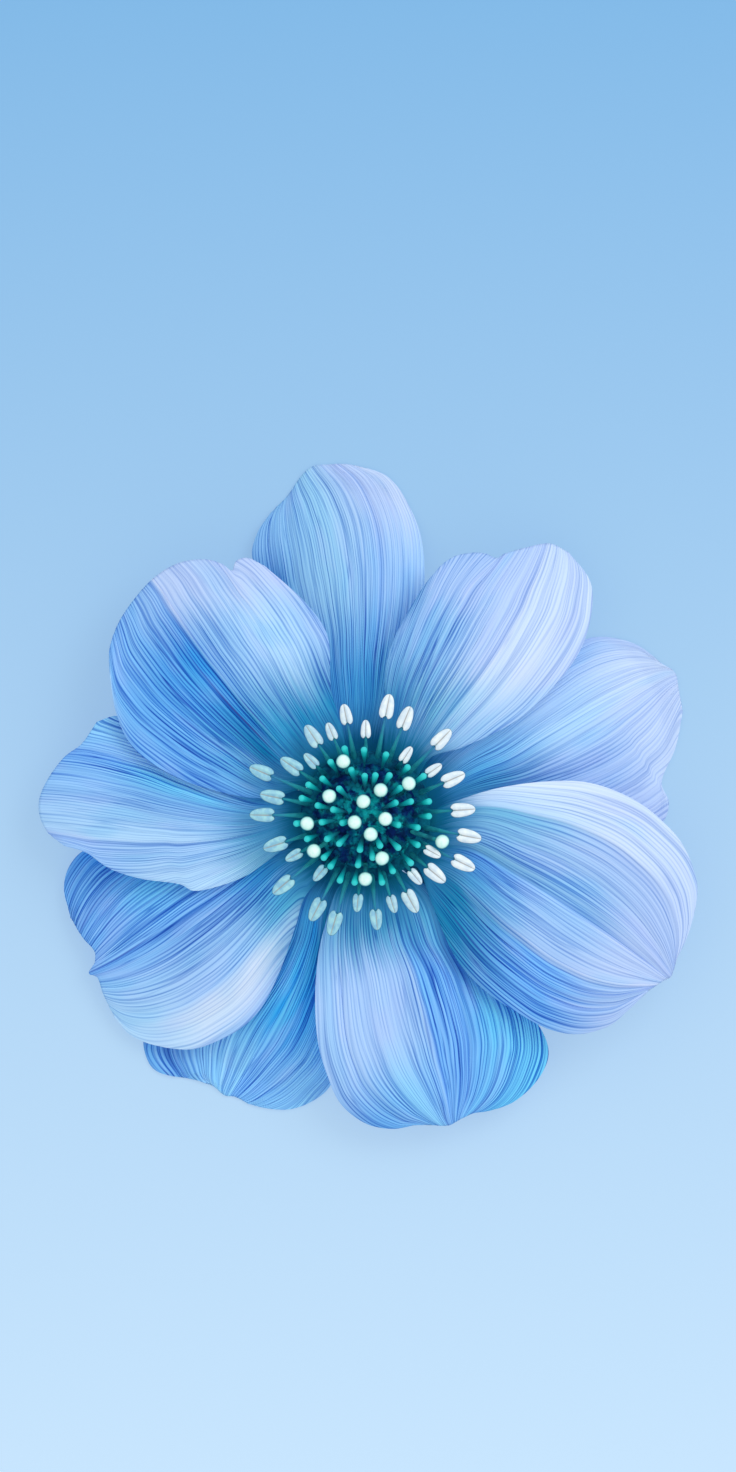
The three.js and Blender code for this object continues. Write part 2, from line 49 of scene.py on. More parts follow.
# The flower's axis in the frame.
AXIS_X = -0.3
AXIS_Y = -2.9

# Petal blades: the same patch as the CAD blades, with far more rows and columns.
COLUMNS = 420
ROWS = 100
BLADE = 0.42  # thickness of the finished blade, thinner at its margin
MARGIN_THICKNESS = 0.45  # share of it that is left at the very edge
MARGIN_AT_SIDE = 0.05  # how far in from its sides the blade is thinned, as a share of half its width
MARGIN_AT_RIM = 0.04  # and how far from its rim, as a share of its length
CLAW_RADIUS = 8.8
CLAW_HALF_WIDTH = 3
SIDE_DROP_POWER = 2.2
SIDE_DROP_FROM_CLAW = 0.4
SIDE_DROP_FADE = 0.8
SIDE_DROP_FADE_START = 0.65
RIM_BLEND_POWER = 3
REST_LEVEL = 0.3  # the lowest that the middle of a blade lies
REST_BLEND = 0.5  # how gently a tip settles on the table

# Relief on the blades
CREASE_DEPTH = 0.13
CREASE_WIDTH = 0.008  # half width of a usual crease, across a petal from -1 to 1
RIB_HEIGHT = 0.045
RIB_COUNT = 60
RIPPLE_HEIGHT = 0.14  # of the soft ripples near the rim
RIPPLE_COUNT = 14

# Domed centre
DOME_RADIUS = 7.8
DOME_BASE = 15.5
DOME_RIM_HEIGHT = 0.6
DOME_HEIGHT = 3.9
DOME_STEPS = 28
DOME_SIDES = 96
LUMP_HEIGHT = 0.07
NODULE_COUNT = 260
NODULE_RADIUS = 0.5
NODULE_FLATNESS = 0.8
NODULE_SINK = 0.22
NODULE_SCATTER = 0.25
GOLDEN_ANGLE = 137.508  # between one nodule of the spiral and the next
PIN_SIDES = 16
PIN_RINGS = 18
PIN_HEAD_RADIUS = 0.5
PIN_TAIL = 3.0  # length over which a pin narrows behind its head
PIN_TAIL_RADIUS = 0.12
PIN_TOP = 20.6
PIN_FALL = 0.08
PIN_REACH = 2.2
PIN_ROOT_LIMIT = 7.2
PIN_ROOT_DEPTH = 0.5
STYLE_RADIUS = 0.3
STYLE_FLARE = 1.3  # times its radius at its root
STYLE_ROOT_DEPTH = 0.8
STIGMA_RADIUS = 1.08
STIGMA_HEIGHT = 21.6
STIGMA_FALL = 0.17
STIGMA_DIMPLE = 0.025  # share of its radius

# Stamens
STAMEN_DISC_RADIUS = 9.8
STAMEN_DISC_BASE = 14.2
STAMEN_DISC_TOP = 15.2
STAMEN_FOOT = 8.6
ANTHER_LEVEL = 18.7
ANTHER_NOTCH = 0.13  # depth of the notch in its base, as a share of its length
ANTHER_ROLL = 0.3  # range over which anthers lie rolled and tipped, each another way
ANTHER_TIP = 0.12
FILAMENT_ROOT_RADIUS = 0.38
FILAMENT_FLARE = 1.2  # times its root radius at its foot
FILAMENT_WAIST = 0.62  # and past its middle
FILAMENT_TIP_RADIUS = 0.1
TUBE_STEPS = 6  # between two knots of a style or filament
TUBE_ROUNDNESS = 3
LARGE = {"length": 3.9, "width": 2.2, "height": 1.1}
MIDDLE = {"length": 3.3, "width": 1.9, "height": 1.0}
SMALL = {"length": 2.9, "width": 1.6, "height": 0.9}

# Calyx
STALK_RADIUS = 2.4
STALK_FOOT = 0.6
RECEPTACLE_RADIUS = 8.5
RECEPTACLE_TOP = 13.9
RECEPTACLE_RIBS = 10
RECEPTACLE_RIB_HEIGHT = 0.07
ROUND_SIDES = 120  # of the turned disc and receptacle
SEPAL_COUNT = 5
SEPAL_FIRST_ANGLE = 36
SEPAL_THICKNESS = 0.8
SEPAL_CROWN = 0.35
SEPAL_KEEL = 0.18
SEPAL_VEIN_HEIGHT = 0.08
SEPAL_BEND = 0.9

# Camera: it looks straight down on the place that the middle of the picture shows.
VIEW_X = 0
VIEW_Y = 9.1
VIEW_LEVEL = 12
VIEW_DISTANCE = 3000
PICTURE_HEIGHT = 220.8  # of the whole picture at VIEW_LEVEL
SENSOR = 36

# The floor gives off a little light of its own, so that the flower throws only a faint shadow.
FLOOR_SIZE = 1.6
FLOOR_GLOW = 0.9
FLOOR_SHADE = (0.46, 0.46, 0.46, 1)

# Light: an even white room and one soft lamp above the upper right of the picture
ROOM_LIGHT = 0.9
LAMP_PLACE = (0.42, 0.38, 0.7)
LAMP_SIZE = 0.5
LAMP_WATTS = 2.2

# ---------------------------------------------------------------------------------------------
# Where things stand, in millimetres from the axis
# ---------------------------------------------------------------------------------------------

STIGMAS = [
    (-0.4, 2.2), (2.9, -0.4), (0.7, -2.7), (-1.7, -0.9), (2.2, 3.9), (-5.5, 3), (2.4, -6.3),
    (6.4, 4.9), (-3.4, 8.2), (-8.8, -1.1), (-7.8, -5.2), (-0.1, -9.4), (11.4, -3.8),
]

PINS = [
    (-3.5, -1), (-0.9, -5), (2.1, -4.4), (4.8, -1.3), (4.4, 2), (-4.9, 1), (-4, 4.1), (-4, -4.1),
    (-6.6, -0.9), (-5.8, -3.4), (-1.2, -7.3), (1, -6.2), (4.8, -4.7), (7.7, -1.7), (6.7, 2.2),
    (5.1, 4.2), (3.5, 6.1), (1.4, 6.1), (-0.2, 6), (-2.2, 6.9), (-7.2, 1.6),
    (-10.4, -1.1), (-8.8, -3.4), (-6.3, -6.2), (-5.3, -7.5), (-3.9, -9.6), (-1.7, -9.9), (2.4, -9.9),
    (4, -8.2), (6.7, -7), (7.7, -4.3), (9.4, 0), (9.4, 2.2), (8.6, 6), (6.2, 7.3), (3, 9.2),
    (-0.3, 9.9), (-3.2, 10.1), (-5.3, 8.1), (-6.5, 5.6), (-8.6, 4.7), (-9.6, 2.7),
]

HALF_RING = [
    (14.2, LARGE), (12.3, SMALL), (16.2, LARGE), (11, SMALL), (15.8, LARGE), (16.7, LARGE),
    (13, SMALL), (15.5, MIDDLE), (13.7, SMALL), (14.4, LARGE), (11.7, SMALL), (13.5, LARGE),
]

STAMEN_RUNS = [
    (-162.4, -28.6, HALF_RING + [(11.3, SMALL)]),
    (-26, 3.7, [(16.2, LARGE), (15.7, LARGE), (14.5, LARGE)]),
    (23.3, 179.3, HALF_RING + [(17, LARGE), (14.3, LARGE), (15.5, LARGE)]),
]

# ---------------------------------------------------------------------------------------------
# Tints, written as they look on a screen
# ---------------------------------------------------------------------------------------------


def tint(red, green, blue):
    def linear(value):
        share = value / 255
        return share / 12.92 if share <= 0.04045 else ((share + 0.055) / 1.055) ** 2.4

    return (linear(red), linear(green), linear(blue), 1.0)


FROST = tint(214, 232, 252)
MIST = tint(196, 218, 248)
PALE_LILAC = tint(183, 207, 246)
LILAC_HAZE = tint(173, 200, 242)
PALE_SKY = tint(168, 206, 252)
PERIWINKLE = tint(158, 194, 241)
HAZE = tint(150, 196, 244)
PALE_AQUA = tint(148, 203, 238)
SKY = tint(133, 192, 250)
SOFT_BLUE = tint(130, 186, 235)
BRIGHT_SKY = tint(119, 186, 249)
CORNFLOWER = tint(116, 177, 233)
PALE_TEAL = tint(115, 186, 221)
AZURE = tint(101, 170, 237)
CYAN_SKY = tint(97, 192, 242)
DUSTY_TEAL = tint(110, 174, 212)
TEAL_SKY = tint(91, 168, 216)
STRONG_AZURE = tint(78, 160, 231)
BRIGHT_CYAN = tint(71, 180, 236)
TEAL_BLUE = tint(74, 165, 211)
DEEP_AZURE = tint(52, 152, 224)
CLEAR_AZURE = tint(48, 170, 240)
STRONG_CYAN = tint(0, 182, 240)
LIGHT_CYAN = tint(108, 206, 250)
ICE_BLUE = tint(142, 211, 254)
PALE_ICE = tint(175, 217, 252)
WAVE = tint(90, 184, 223)
LAGOON = tint(36, 150, 199)
OCEAN = tint(0, 130, 193)
SEA_BLUE = tint(60, 144, 200)
DEEP_SEA = tint(30, 135, 182)
DARK_TEAL = tint(6, 116, 170)
LAVENDER = tint(184, 190, 248)
# Pale ridge tint: partly the ridges' own paleness and partly a painted highlight.
PALE_RIDGE_AND_HIGHLIGHT = tint(206, 226, 252)

# These multiply the tint below them. Dark lines keep their blue.
# Besides vein lines, the vein multipliers paint shade into grooves and a highlight onto ridges.
DARK_VEIN_AND_SHADE = (0.22, 0.38, 0.7, 1)
PALE_VEIN_AND_HIGHLIGHT = (1.34, 1.17, 1.07, 1)
STREAK_BROAD = [(0, (1, 1, 1, 1)), (0.5, (1.03, 1.02, 1.01, 1)), (1, (1.06, 1.04, 1.02, 1))]
PIN_SHADE = (0.04, 0.36, 0.45, 1)

# ---------------------------------------------------------------------------------------------
# The nine petals
# ---------------------------------------------------------------------------------------------
# Each outline is as in the CAD: millimetres from the axis, with the sides from the claw outwards
# and the rim from left to right. Places across a petal run from -1 at its left side to 1 at its
# right side, and places along it from 0 at the claw to 1 at the rim.
#   sway     how far the veins have leaned to the right from where they are at 0.6: at the left side,
#            in the middle and at the right side, for each of the SWAY_PLACES along it
#   folds    heights of its broad folds in millimetres, at places across
#   grooves  dark creases: place across, strength and, for a broad one, its half width
#   ridges   pale raised lines, likewise
#   turns    places along it between which the inner tints turn into the outer, and those into the tip's
#   inner, outer, tip   tints at places across, near the claw, over the blade and at the rim

SWAY_PLACES = (0.1, 0.3, 0.45, 0.6, 0.68, 0.76, 0.84, 0.92, 1)

# The inner, outer and tip tints are partly the petals' own colour and partly painted light and shade: a lit
# side paler, a shaded side and a side tucked under a neighbour deeper, and some stops made brighter where a
# neighbour's shadow falls.
PETALS = [
    {
        "name": "top",
        "claw_angle": 90, "claw_z": 8.8, "tip_z": -2.8, "arch": 5.6, "side_drop": (2.6, 2.6),
        "left": [(-5.2, 15.3), (-9.2, 25.2), (-14.7, 33.6), (-17.1, 39), (-16.3, 42.6)],
        "middle": [(0.8, 18.9), (-1.6, 33.4), (-4.3, 44.2)],
        "right": [(4.2, 16.6), (7.2, 25.6), (8.7, 33.9), (8.2, 42.1), (5.7, 48.1), (3.2, 51.1)],
        "rim": [(-14.3, 45.6), (-11.8, 48.2), (-9.8, 51.1), (-8.1, 52.6), (-5.4, 52.9), (-2.7, 52.9),
                (0.4, 52.2)],
        "sway_left": (-0.51, -0.27, -0.09, 0, 0.06, 0.14, 0.18, 0.14, 0.11),
        "sway_middle": (-0.43, -0.28, -0.11, 0, 0.03, 0.06, 0.08, 0.1, 0.06),
        "sway_right": (-0.08, -0.01, 0.01, 0, 0.02, 0.04, 0.07, 0.11, 0.13),
        "folds": [(-1, 0), (-0.85, 0.1), (-0.7, -0.15), (-0.58, 0.12), (-0.2, 0.1), (0.15, -0.08),
                  (0.3, 0.1), (0.42, -0.18), (0.52, 0.1), (0.75, 0.12), (1, 0)],
        "grooves": [(-0.966, 0.5), (-0.92, 0.21), (-0.86, 0.27), (-0.71, 0.57), (-0.03, 0.22), (0.04, 0.24),
                    (0.11, 0.39), (0.137, 0.71), (0.303, 0.36), (0.39, 1), (0.55, 0.51), (0.61, 0.18),
                    (0.71, 0.38)],
        "ridges": [(-0.89, 0.32), (-0.81, 0.42), (-0.66, 0.32), (-0.475, 0.17), (-0.087, 0.27),
                   (0.07, 0.51), (0.177, 0.44), (0.27, 0.34), (0.355, 0.58), (0.455, 0.4), (0.516, 0.26),
                   (0.66, 0.35), (0.766, 0.31), (0.904, 0.2)],
        "turns": (0.22, 0.58, 0.6, 0.86),
        "inner": [(-1, CYAN_SKY), (0.36, BRIGHT_CYAN), (0.42, BRIGHT_CYAN), (0.6, LIGHT_CYAN)],
        "outer": [(-1, OCEAN), (-0.6, PALE_AQUA), (-0.2, PALE_AQUA), (0.36, HAZE), (0.42, HAZE),
                  (1, PALE_ICE)],
        "tip": [(-1, SOFT_BLUE), (-0.2, PALE_AQUA), (0.36, LILAC_HAZE), (0.42, LILAC_HAZE), (1, MIST)],
    },
    {
        "name": "upper_left",
        "claw_angle": 132, "claw_z": 12.9, "tip_z": 9.5, "arch": 5.4, "side_drop": (1.4, 1.6),
        "left": [(-15.6, 2.7), (-24.9, 4.5), (-30.9, 7.2), (-35.2, 10.7), (-37.5, 15.6)],
        "middle": [(-12.2, 8.1), (-22.9, 21.6), (-29.4, 30.1)],
        "right": [(-3.1, 11.1), (-5.2, 18.9), (-5.8, 27.1), (-9.2, 32.1)],
        "rim": [(-38.5, 21.6), (-38.4, 25.3), (-37, 29.2), (-34.4, 33), (-31.6, 35.9), (-28.2, 37.9),
                (-24.3, 38.5), (-21.6, 37.8), (-20.1, 36.8), (-19.5, 38.2), (-17.8, 38.7), (-15.1, 37.4)],
        "sway_left": (-0.25, -0.09, -0.03, 0, 0, -0.01, -0.04, -0.03, 0.01),
        "sway_middle": (0.1, 0.07, 0.02, 0, 0.01, 0.02, 0.01, -0.04, -0.14),
        "sway_right": (0.21, 0.14, 0.06, 0, 0, 0.01, 0.02, 0.03, 0.02),
        "folds": [(-1, 0), (-0.75, 0.12), (-0.47, -0.12), (-0.36, 0.06), (-0.25, -0.16), (-0.1, 0),
                  (0, -0.28), (0.05, 0.14), (0.3, 0.18), (0.5, 0.02), (0.7, 0.14), (0.86, -0.04),
                  (1, 0.04)],
        "grooves": [(-0.796, 0.4), (-0.684, 0.3), (-0.63, 0.19), (-0.55, 0.33), (-0.52, 0.2),
                    (-0.457, 0.71), (-0.3, 0.6), (-0.2, 0.37), (-0.175, 0.35), (-0.113, 0.35),
                    (-0.047, 0.17), (-0.03, 0.25), (0.003, 1, 0.015), (0.13, 0.4), (0.203, 0.19),
                    (0.235, 0.31), (0.475, 0.24), (0.584, 0.69), (0.734, 0.47), (0.824, 0.24)],
        "ridges": [(-0.84, 0.2), (-0.75, 0.41), (-0.72, 0.17), (-0.7, 0.18), (-0.596, 0.49), (-0.497, 0.46),
                   (-0.377, 0.43), (-0.323, 0.24), (-0.257, 0.24), (-0.23, 0.31), (-0.14, 0.34),
                   (-0.083, 0.68), (0.04, 0.94), (0.083, 0.17), (0.153, 0.32), (0.18, 0.37), (0.22, 0.24),
                   (0.295, 0.31), (0.443, 0.21), (0.51, 0.18), (0.54, 0.37), (0.61, 0.32), (0.656, 0.27),
                   (0.76, 0.25), (0.78, 0.26), (0.926, 0.17), (0.96, 0.3)],
        "turns": (0.22, 0.58, 0.66, 0.94),
        "inner": [(-1, BRIGHT_SKY), (-0.4, TEAL_BLUE), (-0.2, DARK_TEAL), (-0.01, LAGOON)],
        "outer": [(-1, BRIGHT_SKY), (-0.01, DEEP_AZURE), (0.02, STRONG_AZURE), (0.05, CORNFLOWER),
                  (0.6, PALE_ICE), (1, HAZE)],
        "tip": [(-1, PALE_ICE), (-0.8, BRIGHT_SKY), (-0.01, HAZE), (0.02, PALE_SKY), (0.05, PALE_LILAC)],
    },
    {
        "name": "left",
        "claw_angle": 176, "claw_z": 11.5, "tip_z": 7, "arch": 4.8, "side_drop": (1, 3.4),
        "left": [(-15.4, -7.2), (-18.1, -9), (-22.1, -10.5), (-25.8, -11.2), (-27.9, -10.2), (-33.6, -9.4),
                 (-38.4, -7.9), (-42, -5.5)],
        "middle": [(-18.1, -0.9), (-33.9, 1.2)],
        "right": [(-15.6, 5), (-24.1, 10.7), (-32.4, 13.9), (-37.5, 15)],
        "rim": [(-45.3, -4.5), (-48, -2.2), (-49.1, 0.6), (-48.9, 3.1), (-47.4, 6.1), (-45.3, 8.8),
                (-42.6, 10.9), (-40.4, 14.1)],
        "sway_left": (0.57, 0.39, 0.23, 0, -0.08, -0.15, -0.23, -0.31, -0.32),
        "sway_middle": (0.05, 0.01, 0, 0, 0, -0.02, -0.05, -0.09, -0.14),
        "sway_right": (-0.37, -0.27, -0.14, 0, 0.03, 0.04, 0.07, 0.12, 0.23),
        "folds": [(-1, -0.05), (-0.72, 0.16), (-0.46, -0.12), (-0.36, 0.14), (0, 0.16), (0.25, -0.12),
                  (0.38, 0.08), (0.49, -0.2), (0.58, 0.1), (1, 0)],
        "grooves": [(-0.84, 0.32), (-0.724, 0.25), (-0.467, 0.81, 0.018), (-0.307, 0.43), (-0.225, 0.17),
                    (-0.153, 0.27), (0.147, 0.16), (0.275, 0.22), (0.477, 0.56), (0.6, 0.61), (0.71, 0.55)],
        "ridges": [(-0.804, 0.23), (-0.65, 0.16), (-0.57, 0.29), (-0.417, 0.64), (-0.283, 0.18),
                   (-0.25, 0.32), (-0.2, 0.27), (-0.105, 0.28), (0.095, 0.17), (0.21, 0.19), (0.37, 0.19),
                   (0.447, 0.2), (0.536, 0.3), (0.576, 0.35), (0.68, 0.29)],
        "turns": (0.18, 0.42, 0.6, 0.86),
        "inner": [(-1, PALE_TEAL), (-0.44, TEAL_BLUE), (-0.39, TEAL_SKY), (0.2, TEAL_SKY),
                  (0.495, CYAN_SKY), (0.53, BRIGHT_CYAN), (1, LIGHT_CYAN)],
        "outer": [(-1, PALE_ICE), (-0.44, HAZE), (-0.39, PALE_ICE), (0.2, CORNFLOWER), (0.4, LIGHT_CYAN),
                  (0.53, ICE_BLUE)],
        "tip": [(-1, SKY), (-0.44, PALE_SKY), (-0.39, PALE_ICE), (0.495, BRIGHT_SKY), (0.53, SKY),
                (0.75, ICE_BLUE)],
    },
    {
        "name": "lower_left",
        "claw_angle": 217, "claw_z": 10.1, "tip_z": 3, "arch": 4, "side_drop": (1.2, 3.6),
        "left": [(-9.2, -12.2), (-10.5, -16.3), (-12.8, -22.9), (-15.4, -28.3), (-18.3, -31.5),
                 (-22.5, -33.9), (-26.6, -35.1), (-32.1, -34.4), (-35.5, -32.9)],
        "middle": [(-14.7, -7.5), (-23.8, -12.2), (-33.6, -18.8)],
        "right": [(-15.6, -3.9), (-26.4, -2.9), (-35.4, -3.3), (-42.3, -5.2), (-44.7, -7.8),
                  (-45.4, -11.1)],
        "rim": [(-37.8, -30.3), (-39.6, -26.6), (-40.4, -24.3), (-41.7, -23.7), (-40.8, -22.1),
                (-40.8, -20.4), (-42.6, -18.3), (-44.4, -15.3)],
        "sway_left": (-0.39, -0.09, 0.01, 0, -0.02, -0.05, -0.1, -0.12, -0.12),
        "sway_middle": (0.24, 0.07, 0.01, 0, 0, 0, -0.01, -0.03, -0.05),
        "sway_right": (0.47, 0.27, 0.12, 0, -0.04, -0.09, -0.09, -0.01, 0.15),
        "folds": [(-1, -0.1), (-0.85, 0.18), (-0.69, 0.24), (-0.62, 0), (-0.4, 0.1), (-0.05, -0.28),
                  (0.02, 0.12), (0.3, 0.15), (0.48, -0.1), (0.58, 0.1), (0.69, -0.14), (0.8, 0.08),
                  (1, -0.1)],
        "grooves": [(-0.83, 0.22), (-0.81, 0.25), (-0.59, 0.3), (-0.5, 0.55), (-0.39, 0.19), (-0.35, 0.76),
                    (-0.257, 0.53), (-0.227, 0.26), (-0.175, 0.33), (-0.05, 1, 0.015), (0.097, 0.63),
                    (0.227, 0.41), (0.345, 0.31), (0.4, 0.21), (0.477, 0.38), (0.493, 0.43), (0.53, 0.67),
                    (0.594, 1), (0.716, 0.88), (0.77, 1), (0.886, 0.84), (0.926, 0.37)],
        "ridges": [(-0.944, 0.72), (-0.91, 0.71), (-0.89, 0.53), (-0.85, 0.22), (-0.77, 0.3), (-0.74, 0.23),
                   (-0.534, 0.18), (-0.46, 0.33), (-0.42, 0.28), (-0.37, 0.29), (-0.307, 0.43),
                   (-0.28, 0.26), (-0.2, 0.34), (-0.14, 0.56), (-0.007, 0.88), (0.045, 0.2), (0.147, 0.32),
                   (0.187, 0.27), (0.273, 0.45), (0.44, 0.54), (0.51, 0.37), (0.55, 0.77), (0.62, 0.75),
                   (0.69, 0.68), (0.75, 1), (0.826, 0.69), (0.86, 0.53), (0.96, 0.78)],
        "turns": (0.2, 0.5, 0.6, 0.86),
        "inner": [(-1, TEAL_SKY), (-0.7, PALE_AQUA), (-0.64, WAVE), (-0.03, CLEAR_AZURE),
                  (0.02, CLEAR_AZURE), (1, OCEAN)],
        "outer": [(-1, PALE_SKY), (-0.8, FROST), (-0.7, MIST), (-0.64, PALE_SKY), (-0.4, HAZE),
                  (-0.03, AZURE), (0.02, BRIGHT_SKY), (0.4, LIGHT_CYAN), (1, CLEAR_AZURE)],
        "tip": [(-0.64, PALE_ICE), (-0.03, BRIGHT_SKY), (0.02, SKY), (0.4, BRIGHT_SKY), (1, AZURE)],
    },
    {
        "name": "bottom_left",
        "claw_angle": 249, "claw_z": 8.8, "tip_z": -2.8, "arch": 5.4, "side_drop": (2.6, 3.2),
        "left": [(-2.4, -12.6), (-3, -21.6), (-3, -30.6), (-3.9, -37.4), (-5.7, -41.1), (-8.1, -43),
                 (-11.4, -44.2), (-14.7, -44.1)],
        "middle": [(-5.1, -12.6), (-7.2, -19.3), (-12, -28.1), (-17.4, -36.9)],
        "right": [(-9.8, -11.6), (-14.7, -19.3), (-23.4, -26.1), (-30.9, -30.6), (-33.4, -33.6),
                  (-33.1, -36.3), (-31.9, -38.2), (-29.7, -39.1), (-26.4, -39.6)],
        "rim": [(-17.6, -43.4), (-19.8, -42.3), (-21.3, -42.1), (-22.9, -40.5)],
        "sway_left": (0.03, -0.03, -0.04, 0, 0.05, 0.04, -0.09, -0.21, -0.41),
        "sway_middle": (0.38, 0.16, 0.04, 0, -0.01, -0.02, -0.02, -0.02, 0),
        "sway_right": (0.53, 0.31, 0.1, 0, 0.03, 0.09, 0.1, 0.25, 0.44),
        "folds": [(-1, 0), (-0.6, 0.15), (-0.34, -0.2), (-0.22, 0.14), (0, -0.22), (0.05, 0.14),
                  (0.3, 0.15), (0.55, -0.12), (0.65, 0.1), (0.75, -0.12), (0.85, 0.1), (1, 0)],
        "grooves": [(-0.644, 0.42), (-0.596, 0.39), (-0.526, 0.66), (-0.373, 0.36), (-0.315, 0.72),
                    (-0.203, 0.52), (0.015, 0.6), (0.15, 0.28), (0.217, 0.3), (0.273, 0.53), (0.375, 0.3),
                    (0.495, 0.49), (0.53, 0.69), (0.58, 0.79), (0.67, 0.57), (0.704, 1), (0.774, 0.8),
                    (0.79, 0.54), (0.906, 0.46)],
        "ridges": [(-0.936, 0.32), (-0.7, 0.45), (-0.62, 0.18), (-0.57, 0.56), (-0.477, 0.51),
                   (-0.403, 0.2), (-0.265, 0.49), (-0.14, 0.18), (-0.067, 0.34), (0.055, 0.17), (0.1, 0.33),
                   (0.31, 0.69), (0.34, 0.24), (0.457, 0.6), (0.516, 0.23), (0.55, 0.57), (0.61, 0.65),
                   (0.65, 0.41), (0.69, 0.49), (0.736, 0.68), (0.81, 0.47), (0.85, 0.89)],
        "turns": (0.22, 0.58, 0.6, 0.86),
        "inner": [(-1, DEEP_SEA), (-0.2, LAGOON), (-0.03, CLEAR_AZURE), (0.03, BRIGHT_CYAN),
                  (1, LIGHT_CYAN)],
        "outer": [(-1, ICE_BLUE), (-0.2, CLEAR_AZURE), (-0.03, CYAN_SKY), (0.03, CLEAR_AZURE),
                  (0.2, CYAN_SKY), (0.75, ICE_BLUE), (1, CLEAR_AZURE)],
        "tip": [(-1, ICE_BLUE), (-0.03, BRIGHT_SKY), (0.03, ICE_BLUE), (0.4, ICE_BLUE), (1, AZURE)],
    },
    {
        "name": "bottom",
        "claw_angle": 283, "claw_z": 11.5, "tip_z": 6, "arch": 4.4, "side_drop": (3, 1.6),
        "left": [(10.6, -11.9), (13.3, -20.1), (20.1, -26.8), (25.3, -30.8), (27.1, -33.9), (27.3, -36.6),
                 (25.6, -39.9), (22.3, -42.9), (18.9, -44.2)],
        "middle": [(4, -18.8), (7.5, -25.1), (10.5, -34.9)],
        "right": [(-3.9, -10.3), (-6.1, -16.3), (-7.2, -21.3), (-7.6, -27.6), (-7.2, -33.9), (-5.8, -38.9),
                  (-3.8, -43.2), (0, -46.2), (4, -47), (7.2, -46.5)],
        "rim": [(16.2, -44.5), (14.1, -45.6), (12.4, -46.5), (10, -46.4)],
        "sway_left": (-0.44, -0.46, -0.27, 0, 0.09, 0.09, 0.03, -0.04, -0.13),
        "sway_middle": (-0.13, -0.1, -0.02, 0, 0, 0.01, 0.01, 0.03, 0.11),
        "sway_right": (0.1, -0.01, -0.03, 0, 0, 0.01, 0.04, 0.11, 0.19),
        "folds": [(-1, -0.1), (-0.7, 0.15), (-0.5, -0.06), (-0.4, 0.1), (-0.33, -0.16), (-0.2, 0.1),
                  (-0.02, -0.26), (0.04, 0.14), (0.4, 0.2), (0.57, 0), (0.68, 0.15), (0.76, -0.1),
                  (0.88, 0.14), (1, -0.05)],
        "grooves": [(-0.964, 0.28), (-0.896, 0.41), (-0.76, 0.21), (-0.62, 0.38), (-0.51, 0.8),
                    (-0.383, 0.53), (-0.33, 1), (-0.225, 0.72), (-0.193, 0.37), (-0.133, 0.36),
                    (-0.005, 0.98, 0.016), (0.133, 0.34), (0.265, 0.21), (0.5, 0.22), (0.596, 0.61),
                    (0.706, 0.26), (0.756, 0.97), (0.854, 0.57), (0.95, 0.26)],
        "ridges": [(-0.94, 0.39), (-0.846, 0.36), (-0.66, 0.47), (-0.546, 0.45), (-0.47, 0.51),
                   (-0.41, 0.42), (-0.353, 0.61), (-0.283, 0.57), (-0.25, 0.37), (-0.163, 0.51),
                   (-0.1, 0.6), (0.037, 0.83), (0.103, 0.21), (0.177, 0.21), (0.295, 0.17), (0.45, 0.29),
                   (0.55, 0.32), (0.63, 0.29), (0.684, 0.27), (0.734, 0.35), (0.8, 0.5), (0.92, 0.18)],
        "turns": (0.18, 0.42, 0.6, 0.86),
        "inner": [(-1, STRONG_CYAN), (-0.36, CYAN_SKY), (-0.3, WAVE), (-0.02, SEA_BLUE), (0.02, TEAL_BLUE),
                  (0.6, TEAL_BLUE), (1, SOFT_BLUE)],
        "outer": [(-0.6, LIGHT_CYAN), (-0.36, AZURE), (-0.3, BRIGHT_SKY), (-0.02, BRIGHT_SKY), (0.02, HAZE),
                  (0.4, PALE_SKY)],
        "tip": [(-1, LIGHT_CYAN), (-0.36, BRIGHT_SKY), (-0.02, BRIGHT_SKY), (0.02, SKY), (0.4, ICE_BLUE),
                (1, AZURE)],
    },
    {
        "name": "lower_right",
        "claw_angle": 328, "claw_z": 12.8, "tip_z": 9.5, "arch": 4.8, "side_drop": (1.2, 1.6),
        "left": [(9.9, 0.6), (13.9, 2.4), (19.9, 4.2), (27.3, 5.2), (33.3, 5), (39.1, 3), (43.6, 0),
                 (47.5, -4.3), (49.6, -9.8), (49.4, -13.8), (48.1, -18.3)],
        "middle": [(16.3, -5), (25.8, -10.9), (34.8, -16.8)],
        "right": [(7.8, -7.8), (9.6, -12.4), (12.4, -19.2), (14.8, -23.1), (18.4, -26.6), (22.8, -29.5),
                  (27.3, -31.9), (31.8, -32.7), (36.4, -31.5), (39.3, -29.1)],
        "rim": [(46.6, -21.3), (45.8, -24), (44.5, -24.8), (42.3, -26.2)],
        "sway_left": (-0.24, -0.02, 0.03, 0, -0.01, -0.05, -0.09, -0.15, -0.16),
        "sway_middle": (0, 0.03, 0, 0, 0, 0, 0, 0, 0.02),
        "sway_right": (0.15, -0.02, -0.04, 0, 0, 0.02, 0.05, 0.09, 0.1),
        "folds": [(-1, -0.12), (-0.82, 0.22), (-0.66, 0.28), (-0.6, -0.1), (-0.45, -0.02), (-0.37, 0.12),
                  (-0.3, -0.06), (-0.15, 0.1), (-0.01, -0.26), (0.04, 0.12), (0.4, 0.28), (0.5, -0.15),
                  (0.62, 0.04), (0.7, -0.18), (0.8, 0.12), (1, -0.1)],
        "grooves": [(-0.924, 0.44), (-0.804, 0.3), (-0.634, 0.29), (-0.57, 0.29), (-0.46, 0.55),
                    (-0.307, 0.57), (-0.21, 0.41), (-0.015, 0.65, 0.018), (0.11, 0.31), (0.225, 0.33),
                    (0.477, 0.47), (0.504, 0.33), (0.57, 0.78), (0.68, 0.41), (0.734, 0.89), (0.836, 0.56)],
